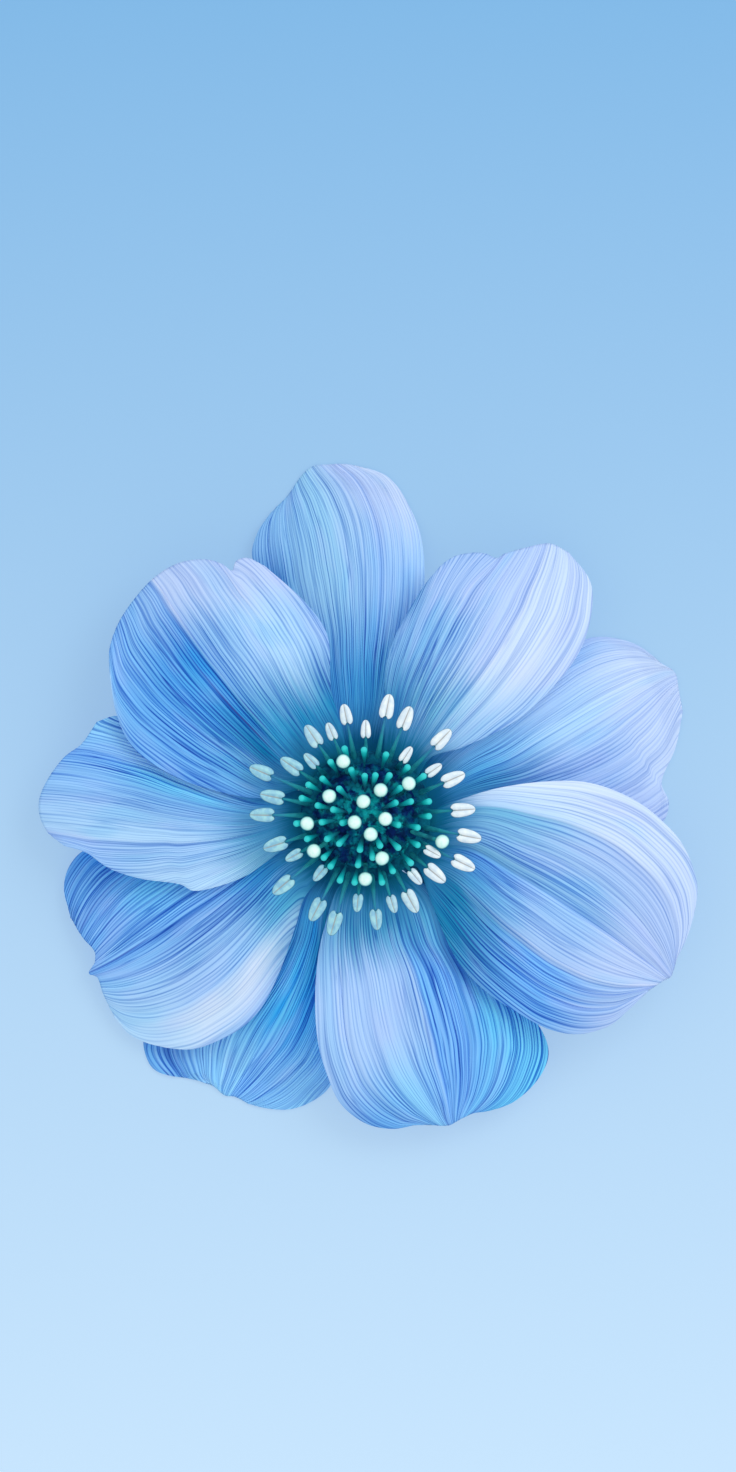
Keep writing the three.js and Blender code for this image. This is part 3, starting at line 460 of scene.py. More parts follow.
        "ridges": [(-0.954, 0.2), (-0.88, 0.22), (-0.84, 0.17), (-0.756, 0.3), (-0.67, 0.19), (-0.6, 0.18),
                   (-0.5, 0.28), (-0.43, 0.3), (-0.4, 0.17), (-0.38, 0.18), (-0.265, 0.41), (-0.16, 0.23),
                   (-0.1, 0.39), (0.02, 0.41), (0.147, 0.24), (0.277, 0.23), (0.427, 0.6), (0.53, 0.36),
                   (0.6, 0.48), (0.656, 0.29), (0.71, 0.27), (0.78, 0.47), (0.9, 0.38), (0.964, 0.55)],
        "turns": (0.22, 0.58, 0.6, 0.86),
        "inner": [(-1, FROST), (-0.655, PALE_ICE), (-0.625, PALE_TEAL), (-0.2, SOFT_BLUE),
                  (-0.03, DUSTY_TEAL), (0.03, AZURE), (0.45, TEAL_BLUE), (0.49, DEEP_SEA)],
        "outer": [(-0.655, MIST), (-0.625, LILAC_HAZE), (-0.03, SOFT_BLUE), (0.03, HAZE),
                  (0.45, PERIWINKLE), (0.49, BRIGHT_SKY), (1, AZURE)],
        "tip": [(-1, MIST), (-0.655, PALE_LILAC), (-0.625, LILAC_HAZE), (-0.03, LILAC_HAZE),
                (0.03, PALE_LILAC), (0.45, PALE_LILAC), (0.49, PERIWINKLE), (1, LILAC_HAZE)],
    },
    {
        "name": "right",
        "claw_angle": 14, "claw_z": 8.8, "tip_z": -2.8, "arch": 5.6, "side_drop": (2.6, 2.6),
        "left": [(9.1, 8.7), (17.1, 16.2), (25.3, 23.1), (33.3, 26.6), (37, 26.8), (41.2, 25.5)],
        "middle": [(16.5, 7.9), (24.4, 11.2), (35.2, 15.4)],
        "right": [(13.3, 0.8), (21.1, 0), (30.6, -1.5), (39.6, -2.4), (44.5, -1.1), (45.6, 1.9), (44.5, 5),
                  (46.6, 10.2)],
        "rim": [(44.4, 22.8), (46.5, 21.6), (47.1, 18.9), (47.7, 15.6)],
        "sway_left": (0.09, 0.1, 0.06, 0, -0.11, -0.18, -0.23, -0.28, -0.37),
        "sway_middle": (0.14, 0.18, 0.08, 0, -0.04, -0.08, -0.13, -0.21, -0.34),
        "sway_right": (0.16, 0.11, 0.08, 0, -0.02, 0.11, 0.23, 0.28, 0.36),
        "folds": [(-1, 0), (-0.6, 0.15), (-0.2, 0.05), (0, 0.16), (0.12, -0.12), (0.3, 0.12), (0.45, -0.18),
                  (0.58, 0.12), (0.8, -0.04), (1, 0.05)],
        "grooves": [(-0.766, 0.23), (-0.576, 0.4), (-0.143, 0.16), (-0.005, 0.19), (0.125, 0.5),
                    (0.315, 0.39), (0.403, 0.5), (0.435, 0.16), (0.54, 0.23), (0.59, 0.18), (0.626, 0.22),
                    (0.844, 0.3), (0.94, 0.56)],
        "ridges": [(-0.626, 0.28), (-0.52, 0.21), (0.055, 0.2), (0.083, 0.26), (0.205, 0.32), (0.365, 0.31),
                   (0.493, 0.21), (0.516, 0.3), (0.7, 0.18), (0.794, 0.3), (0.866, 0.18), (0.9, 0.43),
                   (0.924, 0.26)],
        "turns": (0.22, 0.58, 0.6, 0.86),
        "inner": [(-1, LIGHT_CYAN), (-0.6, ICE_BLUE), (0, CYAN_SKY), (0.2, TEAL_BLUE), (1, PALE_TEAL)],
        "outer": [(-1, LILAC_HAZE), (0, PALE_ICE), (0.4, PERIWINKLE), (0.8, PALE_LILAC)],
        "tip": [(-1, LILAC_HAZE), (-0.2, MIST), (0, MIST), (0.2, PALE_LILAC), (1, MIST)],
    },
    {
        "name": "upper_right",
        "claw_angle": 55, "claw_z": 12.8, "tip_z": 9.5, "arch": 4.8, "side_drop": (1.2, 1.6),
        "left": [(2.9, 15.6), (3, 22.2), (4.2, 26.4), (6.3, 30.6), (9, 34.9)],
        "middle": [(9.3, 17.4), (15.6, 28.2)],
        "right": [(9.8, 8.8), (14.4, 10.3), (22.3, 14.2), (28.2, 19.5), (32.2, 25.1), (33.9, 30.9),
                  (33.6, 35.4)],
        "rim": [(11.1, 37.4), (13.2, 38.9), (16.3, 39.5), (18.1, 39.3), (19.5, 38.7), (21, 39.4),
                (23.7, 40.2), (27.6, 40.9), (30.4, 39.6)],
        "sway_left": (-0.14, -0.03, 0.03, 0, -0.03, -0.07, -0.13, -0.21, -0.3),
        "sway_middle": (-0.02, 0.01, 0.01, 0, 0, 0.02, 0.04, 0.1, 0.18),
        "sway_right": (0.24, 0.05, 0.02, 0, 0, 0.01, 0.01, 0.07, 0.24),
        "folds": [(-1, 0), (-0.75, 0.1), (-0.62, 0.15), (-0.4, -0.05), (-0.2, -0.12), (-0.12, 0.12),
                  (0.03, -0.12), (0.2, 0.12), (0.39, -0.22), (0.46, 0.16), (0.8, 0.15), (0.9, -0.05),
                  (1, 0.05)],
        "grooves": [(-0.8, 0.25), (-0.65, 0.23), (-0.56, 0.22), (-0.463, 0.23), (-0.353, 0.34),
                    (-0.28, 0.26), (-0.19, 0.73), (-0.043, 0.28), (0.027, 0.87), (0.145, 0.41),
                    (0.18, 0.16), (0.375, 0.68, 0.02), (0.516, 0.26), (0.616, 0.21), (0.836, 0.23),
                    (0.92, 0.49)],
        "ridges": [(-0.69, 0.46), (-0.49, 0.18), (-0.405, 0.39), (-0.303, 0.29), (-0.25, 0.55),
                   (-0.153, 0.45), (-0.07, 0.32), (0, 0.36), (0.08, 0.4), (0.215, 0.24), (0.285, 0.39),
                   (0.42, 0.5), (0.47, 0.17), (0.56, 0.23), (0.594, 0.16), (0.666, 0.23), (0.8, 0.22),
                   (0.89, 0.27), (0.95, 0.31)],
        "turns": (0.22, 0.58, 0.6, 0.86),
        "inner": [(-1, WAVE), (-0.6, SEA_BLUE), (0.36, PALE_TEAL), (0.42, PALE_AQUA), (1, HAZE)],
        "outer": [(-0.2, SOFT_BLUE), (0.36, PALE_LILAC), (0.42, MIST), (0.8, MIST), (1, PALE_LILAC)],
        "tip": [(-1, TEAL_SKY), (-0.6, PERIWINKLE), (0.36, PALE_LILAC), (0.42, MIST)],
    },
]

# ---------------------------------------------------------------------------------------------
# Small tools
# ---------------------------------------------------------------------------------------------


def scatter(index, salt):
    """A number between -0.5 and 0.5 that is always the same for the same index and salt."""
    wave = math.sin(index * 12.9898 + salt * 78.233) * 43758.5453
    return wave - math.floor(wave) - 0.5


def smooth(start, stop, value):
    share = np.clip((value - start) / (stop - start), 0, 1)
    return share * share * (3 - 2 * share)


def around(angle, out, z):
    """A point that lies out from the axis at an angle, in metres."""
    return Vector((AXIS_X + out * math.cos(angle), AXIS_Y + out * math.sin(angle), z)) * MM


def laid_out(angle, out, aside, z):
    """Points out from the axis along a line at an angle, and aside to the left of it, in metres."""
    x = AXIS_X + out * math.cos(angle) - aside * math.sin(angle)
    y = AXIS_Y + out * math.sin(angle) + aside * math.cos(angle)
    return np.column_stack([x, y, z]) * MM


def pole_share(points):
    """How far round a unit sphere each point lies from its lower pole, from 0 to 1."""
    return np.arccos(np.clip(-points[:, 2], -1, 1)) / math.pi


def smooth_curve(knots, values, places):
    """Points at places on a smooth curve that passes through a point for each of its knots."""
    order = np.arange(len(knots))
    before, after = np.maximum(order - 1, 0), np.minimum(order + 1, len(knots) - 1)
    slopes = (values[after] - values[before]) / (knots[after] - knots[before])[:, None]
    span = np.clip(np.searchsorted(knots, places) - 1, 0, len(knots) - 2)
    length = (knots[span + 1] - knots[span])[:, None]
    s = (places - knots[span])[:, None] / length
    start = values[span] * (2 * s**3 - 3 * s**2 + 1) + slopes[span] * length * (s**3 - 2 * s**2 + s)
    end = values[span + 1] * (3 * s**2 - 2 * s**3) + slopes[span + 1] * length * (s**3 - s**2)
    return start + end


def curve_through(points, shares):
    """Places on a smooth curve through flat points, with its knots at the points' distances."""
    points = np.array(points, float)
    steps = np.hypot(*np.diff(points, axis=0).T)
    knots = np.concatenate([[0], np.cumsum(steps)])
    return smooth_curve(knots, points, shares * knots[-1])


def profile_at(places, stops):
    """A soft curve through (place, value) stops, level at each of them."""
    at, values = np.array(stops, float).T
    span = np.clip(np.searchsorted(at, places) - 1, 0, len(at) - 2)
    share = smooth(at[span], at[span + 1], places)
    return values[span] + (values[span + 1] - values[span]) * share


def line_at(places, *rows):
    """Smooth lines through stops: the first row has their places, and each other row its own values."""
    knots, *values = np.array(rows, float)
    return smooth_curve(knots, np.array(values).T, np.clip(places, knots[0], knots[-1])).T


def wander(places, count, seed):
    """A smooth random line from -1 to 1 with about count bends between places 0 and 1."""
    drawn = np.random.default_rng(seed).uniform(-1, 1, count + 4)
    position = np.clip(places, 0, 1) * count
    cell = np.floor(position).astype(int)
    share = smooth(0, 1, position - cell)
    return drawn[cell] * (1 - share) + drawn[cell + 1] * share


def start_clean():
    if bpy.context.object and bpy.context.object.mode != "OBJECT":
        bpy.ops.object.mode_set(mode="OBJECT")
    bpy.ops.object.select_all(action="DESELECT")


def take(piece):
    """Makes a piece the only one that is selected and active."""
    start_clean()
    piece.select_set(True)
    bpy.context.view_layer.objects.active = piece
    return piece


def added(name):
    """The object that an add operator has just made, named, with its place put into its mesh."""
    piece = bpy.context.object
    piece.name = name
    piece.data.name = name
    bpy.ops.object.transform_apply(location=True, rotation=True, scale=True)
    return piece


def finish_modifiers(piece):
    take(piece)
    for modifier in list(piece.modifiers):
        bpy.ops.object.modifier_apply(modifier=modifier.name)


def thicken(piece, thickness):
    """A modifier that gives a sheet its thickness in millimetres, half to each side."""
    solidify = piece.modifiers.new("thickness", "SOLIDIFY")
    solidify.thickness = thickness * MM
    solidify.offset = 0
    return solidify


def face_outwards(piece, merge=False):
    """Turns all faces outwards, after points in one place have been merged if asked."""
    take(piece)
    bpy.ops.object.mode_set(mode="EDIT")
    bpy.ops.mesh.select_all(action="SELECT")
    if merge:
        bpy.ops.mesh.remove_doubles(threshold=MERGE_DISTANCE * MM)
    bpy.ops.mesh.normals_make_consistent(inside=False)
    bpy.ops.object.mode_set(mode="OBJECT")


def points_of(mesh):
    flat = np.zeros(len(mesh.vertices) * 3)
    mesh.vertices.foreach_get("co", flat)
    return flat.reshape(-1, 3)


def place_points(mesh, points):
    mesh.vertices.foreach_set("co", np.ascontiguousarray(points, float).ravel())
    mesh.update()


def mark_points(mesh, name, values):
    """Keeps one number for each point of a mesh under a name that a material can read."""
    layer = mesh.attributes.new(name, "FLOAT", "POINT")
    layer.data.foreach_set("value", np.ascontiguousarray(values, np.float32))


def mark_downward(mesh):
    """Keeps how far each point of a mesh faces down, from -1 to 1, for its material to read."""
    normals = np.zeros(len(mesh.vertices) * 3)
    mesh.vertices.foreach_get("normal", normals)
    mark_points(mesh, "downward", -normals.reshape(-1, 3)[:, 2])


def round_off(piece, angle=180):
    take(piece)
    bpy.ops.object.shade_smooth_by_angle(angle=math.radians(angle))


def copied(model, name):
    """A copy of a piece with a mesh of its own."""
    copy = model.copy()
    copy.data = model.data.copy()
    copy.name = name
    copy.data.name = name
    bpy.context.scene.collection.objects.link(copy)
    return copy


def repeated(model, name, count, shape):
    """One piece made of copies of a model. A function shapes and places the points of each copy."""
    copies = [copied(model, "part_of_" + name) for number in range(count)]
    for number, copy in enumerate(copies):
        place_points(copy.data, shape(points_of(copy.data), number))
    bpy.data.objects.remove(model)
    start_clean()
    for copy in copies:
        copy.select_set(True)
    bpy.context.view_layer.objects.active = copies[0]
    bpy.ops.object.join()
    piece = bpy.context.object
    piece.name = name
    piece.data.name = name
    face_outwards(piece)
    round_off(piece)
    return piece


def dress(piece, node, material):
    """Gives a finished piece its material, hangs it on the root body and hides the CAD part that it stands
    for.
    """
    piece.data.materials.clear()
    piece.data.materials.append(material)
    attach(piece, "root")
    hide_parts(node)
    return piece


def turned(name, profile, sides):
    """A turned piece round the flower's axis, from its profile of radius and height."""
    start_clean()
    bpy.ops.mesh.primitive_plane_add(size=MM, location=around(0, 0, 0))
    piece = added(name)
    mesh = piece.data
    bpy.ops.object.mode_set(mode="EDIT")
    bpy.ops.mesh.delete(type="VERT")
    bpy.ops.object.mode_set(mode="OBJECT")
    mesh.vertices.add(len(profile))
    place_points(mesh, [around(0, radius, z) for radius, z in profile])
    mesh.edges.add(len(profile) - 1)
    mesh.edges.foreach_set("vertices", [k + end for k in range(len(profile) - 1) for end in (0, 1)])
    bpy.ops.object.mode_set(mode="EDIT")
    bpy.ops.mesh.select_all(action="SELECT")
    bpy.ops.mesh.spin(steps=sides, angle=math.tau, center=around(0, 0, 0), axis=(0, 0, 1))
    face_outwards(piece, merge=True)
    return piece


# ---------------------------------------------------------------------------------------------
# Material tools
# ---------------------------------------------------------------------------------------------


def put(tree, kind, inputs=(), **settings):
    """Adds a node. Each input is a plain value or the output socket of another node."""
    node = tree.nodes.new(kind)
    for name, value in settings.items():
        setattr(node, name, value)
    for key, value in dict(inputs).items():
        if isinstance(value, bpy.types.NodeSocket):
            tree.links.new(value, node.inputs[key])
        else:
            node.inputs[key].default_value = value
    return node


def maths(tree, operation, first, second=0.0, third=0.0):
    node = put(tree, "ShaderNodeMath", {0: first, 1: second, 2: third}, operation=operation)
    return node.outputs[0]


def spread(tree, value, start, stop, low=0.0, high=1.0, curve="SMOOTHSTEP"):
    """Maps a value from start..stop to low..high, held at both ends."""
    inputs = {"Value": value, "From Min": start, "From Max": stop, "To Min": low, "To Max": high}
    return put(tree, "ShaderNodeMapRange", inputs, interpolation_type=curve).outputs["Result"]


def blend(tree, share, first, second, mode="MIX"):
    """Mixes two colours."""
    inputs = {0: share, 6: first, 7: second}
    return put(tree, "ShaderNodeMix", inputs, data_type="RGBA", blend_type=mode).outputs[2]


def ramp(tree, share, stops):
    node = put(tree, "ShaderNodeValToRGB", {"Fac": share})
    elements = node.color_ramp.elements
    elements.remove(elements[0])
    for number, (place, colour) in enumerate(stops):
        stop = elements.new(place) if number else elements[0]
        stop.position = place
        stop.color = colour
    return node.outputs["Color"]


def new_group(name, inputs, outputs):
    """An empty shader node group with sockets given by name and kind, and its input and output nodes."""
    tree = bpy.data.node_groups.new(name, "ShaderNodeTree")
    for in_out, sockets in (("INPUT", inputs), ("OUTPUT", outputs)):
        for socket, kind in sockets.items():
            tree.interface.new_socket(socket, in_out=in_out, socket_type="NodeSocket" + kind)
    return tree, put(tree, "NodeGroupInput"), put(tree, "NodeGroupOutput")


def use_group(tree, group, inputs):
    return put(tree, "ShaderNodeGroup", inputs, node_tree=group)


def vein_noise(tree, map_parts, lines, waver, seed, detail, roughness):
    """Noise drawn out along the veins, with about so many lines across and bends along a petal."""
    across = maths(tree, "MULTIPLY", map_parts.outputs["X"], lines)
    along = maths(tree, "MULTIPLY", map_parts.outputs["Y"], waver)
    place = put(tree, "ShaderNodeCombineXYZ", {"X": across, "Y": along, "Z": seed}).outputs[0]
    inputs = {"Vector": place, "Scale": 1.0, "Detail": detail, "Roughness": roughness}
    return put(tree, "ShaderNodeTexNoise", inputs).outputs["Fac"]


def streaks_group():
    """Fine lines that run along a petal: many across it, and each wavers slowly along it."""
    inputs = {"Vein Map": "Vector", "Lines": "Float", "Waver": "Float", "Seed": "Float"}
    tree, given, result = new_group("streaks", inputs, {"Streak": "Float"})
    map_parts = put(tree, "ShaderNodeSeparateXYZ", {0: given.outputs["Vein Map"]})
    lines, waver, seed = (given.outputs[name] for name in ("Lines", "Waver", "Seed"))
    noise = vein_noise(tree, map_parts, lines, waver, seed, 1.5, 0.6)
    tree.links.new(spread(tree, noise, 0.28, 0.72, curve="LINEAR"), result.inputs["Streak"])
    return tree


def hatching_group():
    """Close even lines along a petal, whose spacing and strength change slowly, as fine veins do."""
    inputs = {"Vein Map": "Vector", "Lines": "Float", "Seed": "Float"}
    tree, given, result = new_group("hatching", inputs, {"Line": "Float"})
    map_parts = put(tree, "ShaderNodeSeparateXYZ", {0: given.outputs["Vein Map"]})
    seed = given.outputs["Seed"]
    slow = vein_noise(tree, map_parts, 12.0, 1.2, seed, 1.0, 0.5)
    shift = spread(tree, slow, 0.25, 0.75, -0.9, 0.9, "LINEAR")
    turns = maths(tree, "MULTIPLY_ADD", map_parts.outputs["X"], given.outputs["Lines"], shift)
    wave = maths(tree, "SINE", maths(tree, "MULTIPLY", turns, math.tau))
    uneven = vein_noise(tree, map_parts, 40.0, 2.5, maths(tree, "ADD", seed, 4.0), 1.0, 0.5)
    height = spread(tree, uneven, 0.32, 0.62, 0.12, 0.5)
    tree.links.new(maths(tree, "MULTIPLY_ADD", wave, height, 0.5), result.inputs["Line"])
    return tree


def patches_group():
    """Soft cloudy patches over a surface."""
    inputs = {"Place": "Vector", "Size": "Float", "Seed": "Float"}
    tree, given, result = new_group("patches", inputs, {"Patch": "Float"})
    count = maths(tree, "DIVIDE", 1.0, given.outputs["Size"])
    inputs = {0: given.outputs["Place"], "Scale": count}
    scaled = put(tree, "ShaderNodeVectorMath", inputs, operation="SCALE").outputs[0]
    inputs = {"Vector": scaled, "W": given.outputs["Seed"], "Detail": 3.0, "Scale": 1.0}
    noise = put(tree, "ShaderNodeTexNoise", inputs, noise_dimensions="4D")
    tree.links.new(spread(tree, noise.outputs["Fac"], 0.35, 0.65), result.inputs["Patch"])
    return tree


def axis_distance(tree, place):
    """Distance of a point from the flower's axis, in millimetres."""
    parts = put(tree, "ShaderNodeSeparateXYZ", {0: place})
    x = maths(tree, "SUBTRACT", parts.outputs["X"], AXIS_X * MM)
    y = maths(tree, "SUBTRACT", parts.outputs["Y"], AXIS_Y * MM)
    flat = put(tree, "ShaderNodeCombineXYZ", {"X": x, "Y": y, "Z": 0.0})
    length = put(tree, "ShaderNodeVectorMath", {0: flat.outputs[0]}, operation="LENGTH")
    return maths(tree, "DIVIDE", length.outputs["Value"], MM)


def throat_group():
    """Dark teal in the throat, running out along the petals in streaks: own colour and painted shade of the
    deep throat.
    """
    inputs, outputs = {"Place": "Vector", "Streak": "Float"}, {"Shade": "Color", "Mask": "Float"}
    tree, given, result = new_group("throat", inputs, outputs)
    distance = axis_distance(tree, given.outputs["Place"])
    reach = spread(tree, given.outputs["Streak"], 0, 1, -1.0, 1.0, "LINEAR")
    uneven = maths(tree, "ADD", distance, reach)
    share = spread(tree, uneven, 9, 22, curve="LINEAR")
    shade = ramp(tree, share, [
        (0.0, tint(14, 120, 150)),
        (0.2, tint(20, 118, 164)),
        (0.38, tint(52, 140, 194)),
        (0.55, tint(52, 134, 194)),
        (0.8, tint(60, 140, 198)),
    ])
    tree.links.new(shade, result.inputs["Shade"])
    tree.links.new(spread(tree, uneven, 11.5, 18.5, 1, 0), result.inputs["Mask"])
    return tree


STREAKS = streaks_group()
HATCHING = hatching_group()
PATCHES = patches_group()
THROAT = throat_group()


def new_material(name, roughness, specular=0.35):
    """A material with its Principled shader, its constant values set, and its coordinates."""
    material = bpy.data.materials.new(name)
    material.use_nodes = True
    tree = material.node_tree
    shader = tree.nodes["Principled BSDF"]
    shader.inputs["Roughness"].default_value = roughness
    shader.inputs["Specular IOR Level"].default_value = specular
    coordinates = put(tree, "ShaderNodeTexCoord")
    return material, tree, shader, coordinates


def streaks(tree, vein_map, lines, waver, seed):
    inputs = {"Vein Map": vein_map, "Lines": lines, "Waver": waver, "Seed": seed}
    return use_group(tree, STREAKS, inputs).outputs["Streak"]


def hatching(tree, vein_map, lines, seed):
    inputs = {"Vein Map": vein_map, "Lines": lines, "Seed": seed}
    return use_group(tree, HATCHING, inputs).outputs["Line"]


def patches(tree, place, size, seed):
    """Cloudy patches of a size in millimetres."""
    inputs = {"Place": place, "Size": size * MM, "Seed": seed}
    return use_group(tree, PATCHES, inputs).outputs["Patch"]


def marked(tree, name):
    """What a mesh keeps for its points under a name."""
    return put(tree, "ShaderNodeAttribute", attribute_name=name).outputs["Fac"]


def thread(tree, streak, width, strength):
    """A thin line wherever a streak passes its middle value."""
    from_middle = maths(tree, "ABSOLUTE", maths(tree, "SUBTRACT", streak, 0.5))
    line = spread(tree, from_middle, 0.0, width, 1, 0, "LINEAR")
    return maths(tree, "MULTIPLY", line, strength)


def lined(tree, colour, lines, dark, light, strength):
    """Darkens a colour along the low places of a streak and brightens it along the high ones."""
    low = maths(tree, "MULTIPLY", spread(tree, lines, 0.44, 0.1, 0, dark, "LINEAR"), strength)
    high = maths(tree, "MULTIPLY", spread(tree, lines, 0.56, 0.95, 0, light, "LINEAR"), strength)
    colour = blend(tree, low, colour, DARK_VEIN_AND_SHADE, "MULTIPLY")
    return blend(tree, high, colour, PALE_VEIN_AND_HIGHLIGHT, "MULTIPLY")


def bumped(tree, shader, height, depth):
    """Feeds a height into the shader's normal, with a depth in millimetres."""
    bump = put(tree, "ShaderNodeBump", {"Height": height, "Distance": depth * MM, "Strength": 1.0})
    tree.links.new(bump.outputs["Normal"], shader.inputs["Normal"])


# ---------------------------------------------------------------------------------------------
# Petals
# ---------------------------------------------------------------------------------------------


def petal_curves(petal):
    """The petal's outline curves with the claw's corners and the rim's ends added."""
    angle = math.radians(petal["claw_angle"])
    claw = CLAW_RADIUS * np.array([math.cos(angle), math.sin(angle)])
    aside = CLAW_HALF_WIDTH * np.array([-math.sin(angle), math.cos(angle)])
    rim = petal["rim"]
    left = [claw + aside, *petal["left"], rim[0]]
    middle = [claw, *petal["middle"], curve_through(rim, np.array([0.5]))[0]]
    right = [claw - aside, *petal["right"], rim[-1]]
    return left, middle, right


def petal_plan(petal, u, v):
    """Places on the petal in the front view, in millimetres from the axis."""
    curves = petal_curves(petal)

    def inside(along):
        left, middle, right = (curve_through(curve, along) for curve in curves)
        lean = u[:, None] * (right - left) / 2
        bow = (u * u)[:, None] * ((right + left) / 2 - middle)
        return middle + lean + bow

    rim = curve_through(petal["rim"], (u + 1) / 2)
    return inside(v) + (v**RIM_BLEND_POWER)[:, None] * (rim - inside(np.ones_like(v)))


def vein_place(petal, u, v):
    """Which vein passes through a point: its place across, where the blade is broadest."""
    sway = [petal["sway_" + side] for side in ("left", "middle", "right")]
    left, middle, right = line_at(v, SWAY_PLACES, *sway)
    return u - left * u * (u - 1) / 2 - middle * (1 - u * u) - right * u * (u + 1) / 2


def crease_lines(petal, veins, v):
    """Grooves as negative and ridges as positive strengths. Each line fades in and out on its way."""
    total = np.zeros_like(veins)
    lines = [(-1, *groove) for groove in petal["grooves"]] + [(1, *ridge) for ridge in petal["ridges"]]
    for number, (side, place, strength, *width) in enumerate(lines):
        fade = 0.75 + 0.25 * wander(v, 6, number + petal["claw_angle"])
        half_width = width[0] if width else CREASE_WIDTH * (0.7 + 0.5 * strength)
        total += side * strength * fade * np.exp(-(((veins - place) / half_width) ** 2))
    return np.clip(total, -1, 1)


def fine_ribs(petal, veins, v):
    """A slowly changing row of fine ribs across the blade, from -1 to 1."""
    seed = petal["claw_angle"] * 7
    share = (veins + 1) / 2
    near = wander(share, RIB_COUNT, seed)
    far = wander(share, RIB_COUNT, seed + 1)
    finer = wander(share, RIB_COUNT * 3 // 2, seed + 2)
    turn = smooth(0.3, 0.9, v)
    return (near * (1 - turn) + far * turn) * 0.75 + finer * 0.35


def petal_height(petal, u, v, plan):
    """The middle of the blade's thickness, before its relief."""
    ends = petal_plan(petal, np.array([0.0]), np.array([1.0]))
    reach = np.hypot(*ends[0])
    share = (np.hypot(plan[:, 0], plan[:, 1]) - CLAW_RADIUS) / (reach - CLAW_RADIUS)
    rise = petal["tip_z"] - petal["claw_z"]
    spine = petal["claw_z"] + rise * share + 4 * petal["arch"] * share * (1 - share)
    grown = smooth(0, SIDE_DROP_FROM_CLAW, v) * (1 - SIDE_DROP_FADE * smooth(SIDE_DROP_FADE_START, 1, v))
    side_drop = np.where(u < 0, *petal["side_drop"])
    return spine - side_drop * np.abs(u) ** SIDE_DROP_POWER * grown


def relief(petal, u, v, veins, creases, ribs):
    """Folds, creases, ribs and the ripples of the rim, in millimetres."""
    grown = smooth(0.08, 0.4, v)
    folds = profile_at(veins, petal["folds"]) * grown * (1 - 0.5 * smooth(0.85, 1, v))
    lines = CREASE_DEPTH * creases * smooth(0.1, 0.35, v)
    fine = RIB_HEIGHT * ribs * smooth(0.12, 0.5, v)
    ripple = wander((u + 1) / 2, RIPPLE_COUNT, petal["claw_angle"] + 3) * smooth(0.72, 1, v)
    return folds + lines + fine + RIPPLE_HEIGHT * ripple


def settled(z):
    """Heights that come down to the table come to rest on it gently."""
    over = (z - REST_LEVEL) / REST_BLEND
    return REST_LEVEL + REST_BLEND * np.logaddexp(0, over * 2) / 2


def petal_piece(petal):
    start_clean()
    bpy.ops.mesh.primitive_grid_add(x_subdivisions=COLUMNS, y_subdivisions=ROWS, size=2)
    piece = added("petal_" + petal["name"])
    mesh = piece.data
    grid = points_of(mesh)
    u, v = np.round(grid[:, 0], 6), np.round((grid[:, 1] + 1) / 2, 6)
    plan = petal_plan(petal, u, v)
    veins = vein_place(petal, u, v)
    creases = crease_lines(petal, veins, v)
    ribs = fine_ribs(petal, veins, v)
    z = settled(petal_height(petal, u, v, plan)) + relief(petal, u, v, veins, creases, ribs)
    z = np.maximum(z, BLADE / 2)
    place_points(mesh, np.column_stack([AXIS_X + plan[:, 0], AXIS_Y + plan[:, 1], z]) * MM)
    mark_points(mesh, "crease", creases)
    mark_points(mesh, "rib", ribs)
    corners = np.zeros(len(mesh.loops), int)
    mesh.loops.foreach_get("vertex_index", corners)
    vein_map = np.column_stack([(veins + 1) / 2, v])[corners]
    mesh.uv_layers[0].name = "vein_map"
    mesh.uv_layers[0].data.foreach_set("uv", vein_map.ravel())
    thin_margin(piece, u, v)
    round_off(piece)
    return piece


def thin_margin(piece, u, v):
    """Gives the blade its thickness, which runs out towards its sides and rim."""
    from_edge = np.minimum((1 - np.abs(u)) / MARGIN_AT_SIDE, (1 - v) / MARGIN_AT_RIM)
    share = MARGIN_THICKNESS + (1 - MARGIN_THICKNESS) * smooth(0, 1, from_edge)
    group = piece.vertex_groups.new(name="thickness")
    group.add([int(k) for k in np.flatnonzero(share > 0.999)], 1.0, "REPLACE")
    for k in np.flatnonzero(share <= 0.999):
        group.add([int(k)], float(share[k]), "REPLACE")
    thicken(piece, BLADE).vertex_group = group.name
    finish_modifiers(piece)
    piece.vertex_groups.clear()


def petal_bands(tree, petal, vein_map, streak):
    """The tints near the claw, over the blade and at the rim: own colour with painted light and shade.
    Their borders waver with a streak.
    """
    parts = put(tree, "ShaderNodeSeparateXYZ", {0: vein_map})
    waver = spread(tree, streak, 0, 1, -0.006, 0.006, "LINEAR")
    across = maths(tree, "ADD", parts.outputs["X"], waver)
    inner, outer, tip = (
        ramp(tree, across, [((at + 1) / 2, colour) for at, colour in petal[zone]])
        for zone in ("inner", "outer", "tip")
    )
    uneven = spread(tree, streak, 0, 1, -0.03, 0.03, "LINEAR")
    along = maths(tree, "ADD", parts.outputs["Y"], uneven)
    inner_end, outer_start, outer_end, tip_start = petal["turns"]
    colour = blend(tree, spread(tree, along, inner_end, outer_start), inner, outer)
    return blend(tree, spread(tree, along, outer_end, tip_start), colour, tip)


def smudged(tree, colour, vein_map, seed):
    """Long soft smudges of lavender and cyan."""
    lavender = streaks(tree, vein_map, 9.0, 3.5, seed + 20)
    colour = blend(tree, spread(tree, lavender, 0.55, 1, 0, 0.15), colour, LAVENDER)
    cyan = streaks(tree, vein_map, 7.0, 3.0, seed + 23)
    return blend(tree, spread(tree, cyan, 0.6, 1, 0, 0.2), colour, CYAN_SKY)


